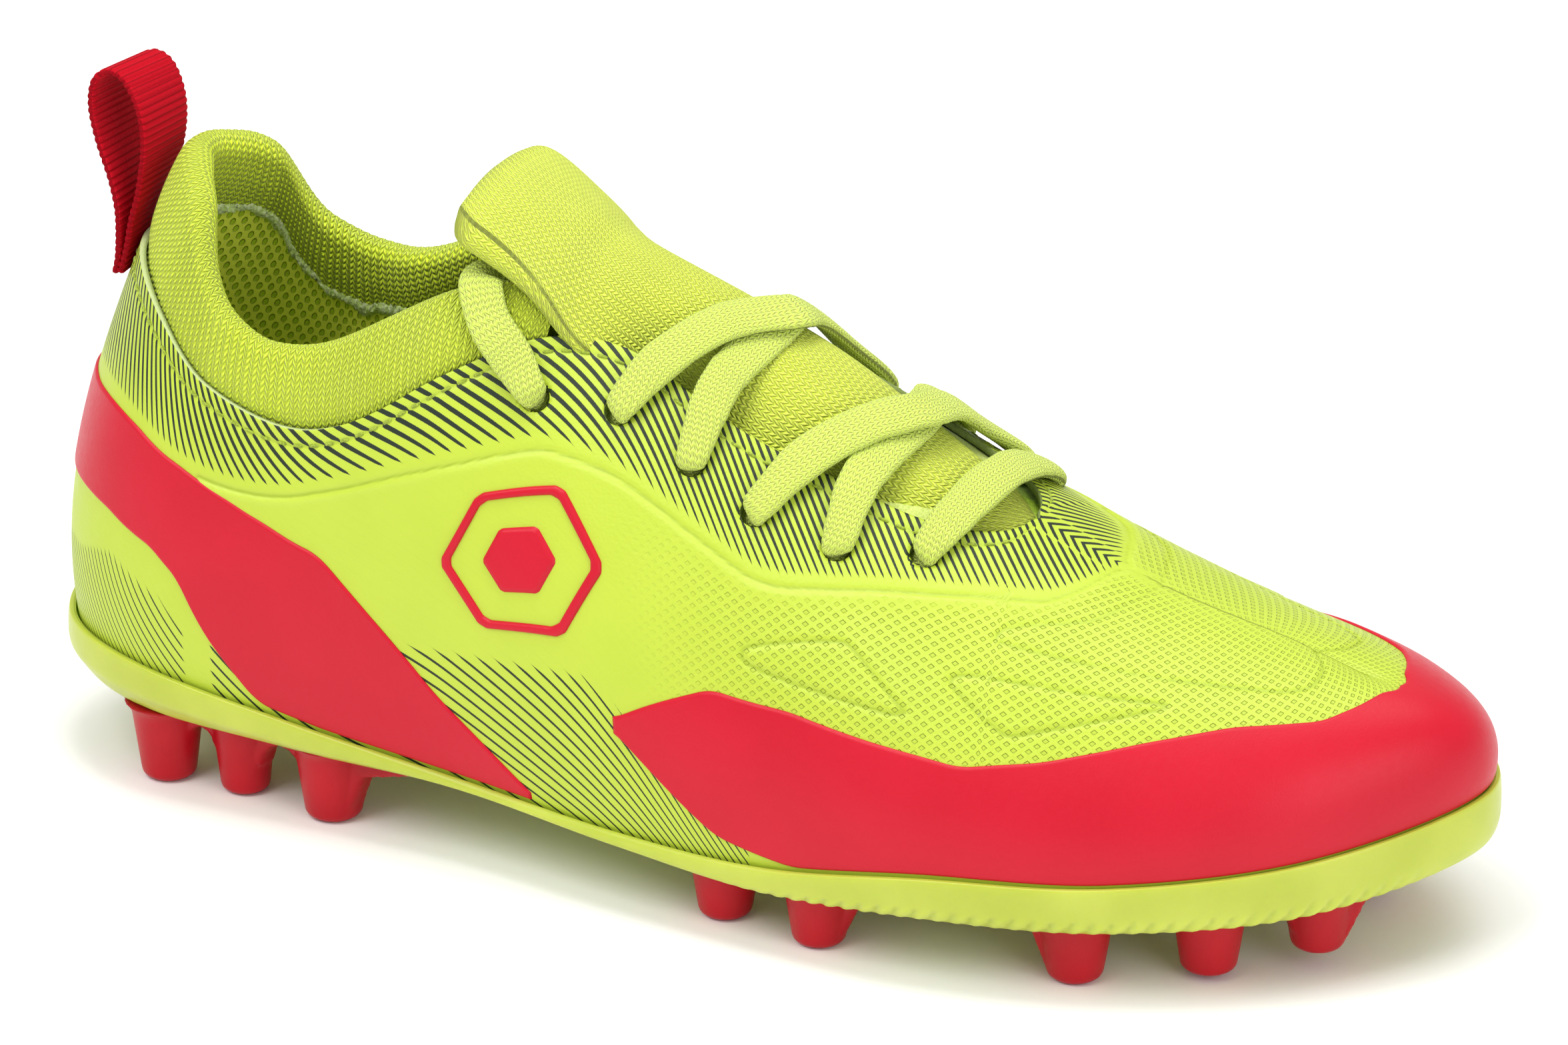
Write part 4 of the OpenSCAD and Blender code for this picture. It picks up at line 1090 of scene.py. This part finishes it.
# Distance from the heel, height of the ridge, radius of the arch, half width along the arch
TONGUE_FLAP = [
    [99, 102.6, 20, 22], [94, 105, 25, 19], [88, 107.6, 32, 17], [81, 110.4, 50, 16.6],
    [76.5, 111.7, 70, 16.5],
]
TONGUE_T = 3.2
# How far the sides reach under the skin, and how deep they lie there
TONGUE_TUCK, TONGUE_DEEP = 4.0, 3.7
# Radius of the corners of the tip, length of its rounded lip, and how much thicker it is
TIP_CORNER, TIP_LIP, TIP_PUFF = 5.0, 2.8, 2.2


def tongue_base_ring(k, rise, s):
    """Across the throat along the upper's own face, low under the skin and proud along the ridge."""
    at = np.where(s <= 0, k, COUNT - k)
    edge = skin_top(np.array([k]))[0] - TONGUE_TUCK / height_of(np.array([k]))[0]
    v = 1 - (1 - edge) * np.abs(s)
    return spot(at, v, rise - (rise + TONGUE_DEEP) * smooth((np.abs(s) - 0.32) / 0.6))


def tongue_flap_ring(x, ridge, radius, half, s):
    a = s * half / radius
    return np.column_stack([np.full(len(s), x), radius * np.sin(a), ridge - radius + radius * np.cos(a)])


def relax(grid, passes, axis):
    """Smooths a grid of points along one axis and keeps its ends."""
    grid = np.moveaxis(grid, axis, 0)
    for _ in range(passes):
        grid[1:-1] += 0.25 * (grid[:-2] + grid[2:] - 2 * grid[1:-1])
    return np.moveaxis(grid, 0, axis)


def tongue_face(n, arc):
    """Grid of the tongue's outer face, evenly spaced from the vamp to the tip."""
    s = np.linspace(-1, 1, arc)
    rings = [tongue_base_ring(k, rise, s) for k, rise in TONGUE_BASE]
    rings += [tongue_flap_ring(*row, s) for row in TONGUE_FLAP]
    rings = np.array(rings)
    outer = through(rings.reshape(len(rings), -1), np.linspace(0, len(rings) - 1, n))
    outer = outer.reshape(n, arc, 3)
    run = running(outer[:, [arc // 2]], 0)[:, 0]
    even = np.interp(np.linspace(0, run[-1], n), run, np.arange(n))
    outer = through(outer.reshape(n, -1), even).reshape(n, arc, 3)
    outer = relax(relax(outer, 60, 1), 40, 0)
    from_tip = run[-1] * np.linspace(1, 0, n)
    middle = outer[:, [arc // 2]]
    half = np.linalg.norm(outer[:, 0] - middle[:, 0], axis=-1)
    cut = TIP_CORNER * (1 - np.sqrt(1 - (1 - clamp(from_tip / TIP_CORNER)) ** 2))
    return middle + (outer - middle) * (1 - cut / half)[:, None, None], from_tip


def make_tongue():
    arc, turn = 71, 8
    outer, from_tip = tongue_face(260, arc)
    normal = unit(np.cross(np.gradient(outer, axis=1), np.gradient(outer, axis=0)))
    normal *= np.sign(normal[..., 2:3].mean())
    ends = clamp((from_tip + 0.3) / TIP_LIP)
    thick = (TONGUE_T + TIP_PUFF * smooth((25 - from_tip) / 20)) * np.sqrt(1 - (1 - ends) ** 2)
    core = outer - normal * TONGUE_T / 2
    top = core + normal * (thick / 2)[:, None, None]
    under = core - normal * (thick / 2)[:, None, None]
    corner = np.linspace(0, math.pi, turn + 2)[1:-1]
    up, out = np.cos(corner)[:, None], np.sin(corner)[:, None]
    edges = []
    for end, start, sign in ((-1, -2, 1), (0, 1, -1)):
        away = unit(core[:, end] - core[:, start])
        lift = normal[:, end] * (thick / 2)[:, None] * sign
        reach = away * (thick / 2)[:, None]
        edges.append(core[:, [end]] + lift[:, None] * up + reach[:, None] * out)
    rings = np.concatenate([top, edges[0], under[:, ::-1], edges[1]], 1)
    flow = flow_of(np.concatenate([rings, rings[:, :1]], 1))[:, :-1][..., [1, 0, 2]]
    n, m = rings.shape[:2]
    faces = grid_faces(n, m, wrap_v=True)[:, ::-1].tolist()
    faces += [list(range(m)), [(n - 1) * m + i for i in range(m)][::-1]]
    tongue = piece("tongue_padded", rings, faces, [TONGUE_KNIT], None, "knit_lime", flow=flow.reshape(-1, 3))
    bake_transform(tongue)
    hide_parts("tongue_base", "tongue_flap")


make_tongue()

# ---- Lace ----

# Station, place across the throat, height of the lace's middle over the skin, and the run it lies in
LACE_ROUTE = [
    [6, -0.3, -11, 1], [5.5, -0.25, -12, 0], [5, -0.17, -12.5, 0], [4.62, -0.28, -11, 0],
    [4.45, -0.55, -9.2, 0],
    [4.3, -0.25, -7.4, 0], [4.12, 0, -4.6, 0], [4.08, -0.04, 0.9, 0],
    [4.2, -0.35, 1.7, 0], [4.38, -0.62, 1.5, 0],
    [4.55, -0.86, 1.3, -1], [4.55, -0.86, -1.6, 2], [4.57, -0.86, -4.5, 1],
    [4.78, -0.89, -4.6, 0],
    [4.98, -0.92, -4.5, -1], [5, -0.92, -1.6, 2], [5, -0.92, 1.3, 1],
    [5.07, -0.62, 2.2, 0], [5.15, -0.3, 4.2, 0], [5.24, 0, 5.4, 0],
    [5.33, 0.3, 4.2, 0], [5.42, 0.65, 2.2, 0],
    [5.5, 1, 1.3, -1], [5.5, 1, -1.6, 2], [5.52, 1, -4.5, 1],
    [5.7, 1.02, -4.6, 0],
    [5.88, 1.05, -4.5, -1], [5.9, 1.05, -1.6, 2], [5.9, 1.05, 1.3, 1],
    [6, 0.55, 2.2, 0], [6.14, 0, 2.9, 0], [6.28, -0.55, 2.2, 0],
    [6.4, -1, 1.3, -1], [6.4, -1, -1.6, 2], [6.42, -0.99, -4.5, 1],
    [6.6, -0.88, -4.6, 0],
    [6.78, -0.78, -4.5, -1], [6.8, -0.77, -1.6, 2], [6.8, -0.77, 1.3, 1],
    [6.82, -0.4, 2, 0], [6.83, 0, 2.4, 0], [6.82, 0.4, 2, 0],
    [6.8, 0.77, 1.3, -1], [6.8, 0.77, -1.6, 2], [6.78, 0.78, -4.5, 1],
    [6.6, 0.88, -4.6, 0],
    [6.42, 0.99, -4.5, -1], [6.4, 1, -1.6, 2], [6.4, 1, 1.3, 1],
    [6.3, 0.62, 2.2, 0], [6.22, 0.3, 4.2, 0], [6.14, 0, 5.4, 0],
    [6.06, -0.3, 4.2, 0], [5.98, -0.65, 2.2, 0],
    [5.9, -1.05, 1.3, -1], [5.9, -1.05, -1.6, 2], [5.88, -1.05, -4.5, 1],
    [5.7, -1.02, -4.6, 0],
    [5.52, -1, -4.5, -1], [5.5, -1, -1.6, 2], [5.5, -1, 1.3, 1],
    [5.38, -0.55, 2.2, 0], [5.24, 0, 2.9, 0], [5.12, 0.55, 2.2, 0],
    [5, 0.92, 1.3, -1], [5, 0.92, -1.6, 2], [4.98, 0.92, -4.5, 1],
    [4.78, 0.89, -4.6, 0],
    [4.57, 0.86, -4.5, -1], [4.55, 0.86, -1.6, 2], [4.55, 0.86, 1.3, 1],
    [4.38, 0.62, 1.5, 0], [4.2, 0.35, 1.7, 0],
    [4.08, 0.04, 0.9, 0], [4.12, 0, -4.6, 0], [4.3, 0.25, -7.4, 0],
    [4.45, 0.5, -9.6, 0],
    [4.62, 0.24, -11, 0], [5, 0.12, -12.5, 0], [5.5, 0.2, -12, 0], [6, 0.3, -11, -1],
]
LACE_W, LACE_T = 7.2, 2.5
BEND_W, BEND_T = 5.6, 2.8
HOLE_W, HOLE_T = 4.2, 2.6
# How far from a hole's middle the lace starts to turn into it
BEND_OUT = 1.3


def make_lace():
    last = len(LACE_ROUTE) - 1
    places = [throat(r[0], r[1]) for r in LACE_ROUTE]
    k, v = np.array([p[0] for p in places], float), np.array([p[1] for p in places], float)
    lift = np.array([r[2] for r in LACE_ROUTE])
    points, normals = spot(k, v, lift), outward(k, v)
    flags = [r[3] for r in LACE_ROUTE]
    bends = {i + n: n for i, flag in enumerate(flags) if flag == 2 for n in (-1, 1)}
    ways = {i: unit(points[i + n] - points[i]) for i, n in bends.items()}
    sides = np.zeros_like(points)
    for i, flag in enumerate(flags):
        if flag != 2:
            a = i if flag == 1 else max(0, i - 1)
            b = i if flag == -1 else min(last, i + 1)
            sides[i] = unit(np.cross(points[b] - points[a], normals[i]))
    for i, flag in enumerate(flags):
        if flag == 2:
            sides[i] = unit(sides[i - 1] + sides[i + 1])
    size = np.tile([LACE_W, LACE_T], (len(flags), 1))
    for i, way in ways.items():
        points[i] = points[i] + way * BEND_OUT
        size[i] = BEND_W, BEND_T
    size[[i for i, f in enumerate(flags) if f == 2]] = HOLE_W, HOLE_T
    rows = np.concatenate([points, sides, size], 1)
    fine = through(rows, np.linspace(0, last, last * 14 + 1))
    centre, along = fine[:, 0:3], unit(np.gradient(fine[:, 0:3], axis=0))
    flat = unit(np.cross(unit(fine[:, 3:6]), along))
    across_lace = np.cross(along, flat)
    a = np.linspace(0, 2 * math.pi, 24, endpoint=False)
    x = np.sign(np.cos(a)) * np.abs(np.cos(a)) ** 0.85
    y = np.sign(np.sin(a)) * np.abs(np.sin(a)) ** 0.8
    run = running(centre[:, None], 0)[:, 0]
    scallop = 1 + 0.018 * np.sin(run * 2 * math.pi / 0.85) + 0.02 * ripple(run * 0.3, 4)
    wide, thick = fine[:, 6] / 2 * scallop, fine[:, 7] / 2
    rings = (centre[:, None] + across_lace[:, None] * (wide[:, None] * x)[..., None]
             + flat[:, None] * (thick[:, None] * y)[..., None])
    lace = tube("lace_woven", rings[:, ::-1], [LACE], "boot", "lace_lime")
    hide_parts("lace")


make_lace()

# ---- Pull tab ----

TAB_PATH = [
    [10.1, 87.4], [10.6, 92], [10.7, 96.5], [9.9, 101.6], [8.1, 108.3], [7.3, 114], [8.2, 118.6],
    [10.9, 120.6],
    [13.6, 119.6], [15.5, 116.4], [16.5, 112], [16.3, 106.6], [14.8, 99.5], [13.2, 94.6], [12.2, 90.6],
    [11.3, 87.4],
]
# Cut ends of the webbing, one outside the heel and one behind it
TAB_FOOT = [[9.5, 84.6]]
TAB_INNER_FOOT = [[10.5, 84.9]]
TAB_W, TAB_T = 12.0, 1.1
TAB_TURN = math.radians(15)
# Distance between the webbing's ribs, their height, and the depth of the notches they leave in its edges
RIB_PITCH, RIB, NOTCH = 1.3, 0.17, 0.22


def make_tab():
    """Webbing that is sewn down the heel, runs up into the loop and comes back to the seam."""
    path = TAB_FOOT + TAB_PATH + TAB_INNER_FOOT
    line = through(path, np.linspace(0, len(path) - 1, 620))
    run = running(line[:, None], 0)[:, 0]
    even = np.linspace(0, run[-1], 520)
    line = np.column_stack([np.interp(even, run, line[:, c]) for c in (0, 1)])
    way = unit(np.gradient(line, axis=0))
    normal = np.stack([way[:, 1], -way[:, 0]], -1)
    rib = RIB * np.abs(np.sin(even * math.pi / RIB_PITCH))
    notch = NOTCH * np.abs(np.sin(even * math.pi / RIB_PITCH + 0.4))
    w = np.linspace(-1, 1, 26)
    section = [(s, 1) for s in w] + [(s, -1) for s in w[::-1]]
    foot_z, top_z = TAB_PATH[0][1], max(p[1] for p in TAB_PATH)
    rings = []
    for (x, z), n, r, cut in zip(line, normal, rib, notch):
        turn = TAB_TURN * clamp((z - foot_z) / (top_z - foot_z))
        half = TAB_W / 2 + cut
        ring = []
        for s, face_side in section:
            rim = math.sqrt(max(0.0, 1 - max(0.0, abs(s) - 0.9) ** 2 * 60))
            off = face_side * (TAB_T / 2 - 0.1 + r) * max(rim, 0.35)
            px, pz = x + n[0] * off, z + n[1] * off
            y = s * half
            ring.append((px + y * math.sin(turn), y * math.cos(turn), pz))
        rings.append(ring)
    tab = tube("pull_tab", np.array(rings), [WEBBING], None, "webbing_red")
    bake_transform(tab)
    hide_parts("pull_tab_loop", "pull_tab_anchor")


make_tab()

# ---- Stitching ----


def stitches(name, k, v, lift, finish, slot, length=2.1, gap=0.9, radius=0.26):
    """Row of short thread stitches along a line on the skin."""
    line = spot(k, v, np.full(len(k), lift))
    up = outward(k, v)
    run = running(line[:, None], 0)[:, 0]
    starts = np.arange(0.5, run[-1] - length, length + gap)
    a = np.linspace(0, 2 * math.pi, 8, endpoint=False)
    t = np.linspace(0, 1, 9)
    points, faces = [], []
    for start in starts:
        where = start + t * length
        centre = np.column_stack([np.interp(where, run, line[:, c]) for c in range(3)])
        normal = np.column_stack([np.interp(where, run, up[:, c]) for c in range(3)])
        centre = centre - normal * (0.45 * (2 * t - 1) ** 4)[:, None]
        along = unit(np.gradient(centre, axis=0))
        flat = unit(np.cross(along, normal))
        thick = radius * np.sqrt(np.maximum(0.08, 1 - (2 * t - 1) ** 6))
        ring = (centre[:, None] + flat[:, None] * (thick[:, None] * np.cos(a))[..., None]
                + normal[:, None] * (thick[:, None] * np.sin(a))[..., None])
        base = sum(len(p) for p in points)
        faces += (grid_faces(len(t), len(a), wrap_v=True) + base).tolist()
        far = base + (len(t) - 1) * len(a)
        faces += [[base + i for i in range(len(a))][::-1], [far + i for i in range(len(a))]]
        points.append(ring.reshape(-1, 3))
    piece(name, np.concatenate(points), faces, [finish], "boot", slot)


def edge_stitches():
    for name, sign in (("outer", 1), ("inner", -1)):
        s = np.linspace(0.1, THROAT_END - 0.02, 1500)
        k = s if sign > 0 else COUNT - s
        v = skin_top(k) - STITCH_IN / height_of(k)
        stitches(f"edge_stitching_{name}", k, v, -0.06, THREAD, "skin_lime")


edge_stitches()

# ---- Frame nodes that stay ----

for node, finish in HIDDEN.items():
    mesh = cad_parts[node].data
    mesh.materials.clear()
    mesh.materials.append(finish)

# ---- Floor, light and camera ----


FLOOR_REACH = 6.0
WORLD_LIGHT = 0.58
# Name, place, the point it shines at, size in metres and power in watts
LAMPS = [
    ("key", (-0.5, -0.9, 1.3), (0, 0, 0.05), 0.9, 13),
    ("top", (0.2, 0.3, 1.5), (0, 0, 0.05), 1.2, 12),
    ("front", (1.1, -0.6, 0.5), (0, 0, 0.05), 0.8, 5),
    ("opening", (-0.05, -0.06, 0.6), (-0.07, 0.01, 0.08), 0.16, 0.75),
]
VIEW_AZIMUTH, VIEW_ELEVATION = math.radians(22.2), math.radians(24.3)
VIEW_DISTANCE = 1.4
VIEW_TARGET = Vector((0.0033, 0.00125, 0.0564))
LENS, SENSOR = 195, 36


def area_light(name, place, target, size, power):
    data = bpy.data.lights.new(name, "AREA")
    data.size = size
    data.energy = power
    lamp = bpy.data.objects.new(name, data)
    bpy.context.scene.collection.objects.link(lamp)
    lamp.location = place
    lamp.rotation_euler = (Vector(target) - Vector(place)).to_track_quat("-Z", "Y").to_euler()


def make_stage():
    mesh = bpy.data.meshes.new("floor")
    corners = [(x * FLOOR_REACH, y * FLOOR_REACH, 0) for x, y in ((-1, -1), (1, -1), (1, 1), (-1, 1))]
    mesh.from_pydata(corners, [], [(0, 1, 2, 3)])
    floor = bpy.data.objects.new("floor", mesh)
    bpy.context.scene.collection.objects.link(floor)
    g = Graph("floor", (0.93, 0.93, 0.93), 0.8)
    mesh.materials.append(g.done(None, g.math("MULTIPLY_ADD", g.noise(400.0), 0.1, 0.75)))
    world = bpy.data.worlds.new("studio")
    world.use_nodes = True
    light = world.node_tree.nodes["Background"]
    light.inputs["Color"].default_value = (1, 1, 1, 1)
    light.inputs["Strength"].default_value = WORLD_LIGHT
    bpy.context.scene.world = world
    for lamp in LAMPS:
        area_light(*lamp)


def make_camera():
    level = math.cos(VIEW_ELEVATION)
    back = Vector((math.sin(VIEW_AZIMUTH) * level, -math.cos(VIEW_AZIMUTH) * level, math.sin(VIEW_ELEVATION)))
    data = bpy.data.cameras.new("camera")
    data.lens = LENS
    data.sensor_width = SENSOR
    data.clip_start = 0.05
    camera = bpy.data.objects.new("camera", data)
    bpy.context.scene.collection.objects.link(camera)
    camera.location = VIEW_TARGET + back * VIEW_DISTANCE
    camera.rotation_mode = "QUATERNION"
    camera.rotation_quaternion = (-back).to_track_quat("-Z", "Y")
    bpy.context.scene.camera = camera


make_stage()
make_camera()
bpy.context.scene.view_settings.view_transform = "Standard"
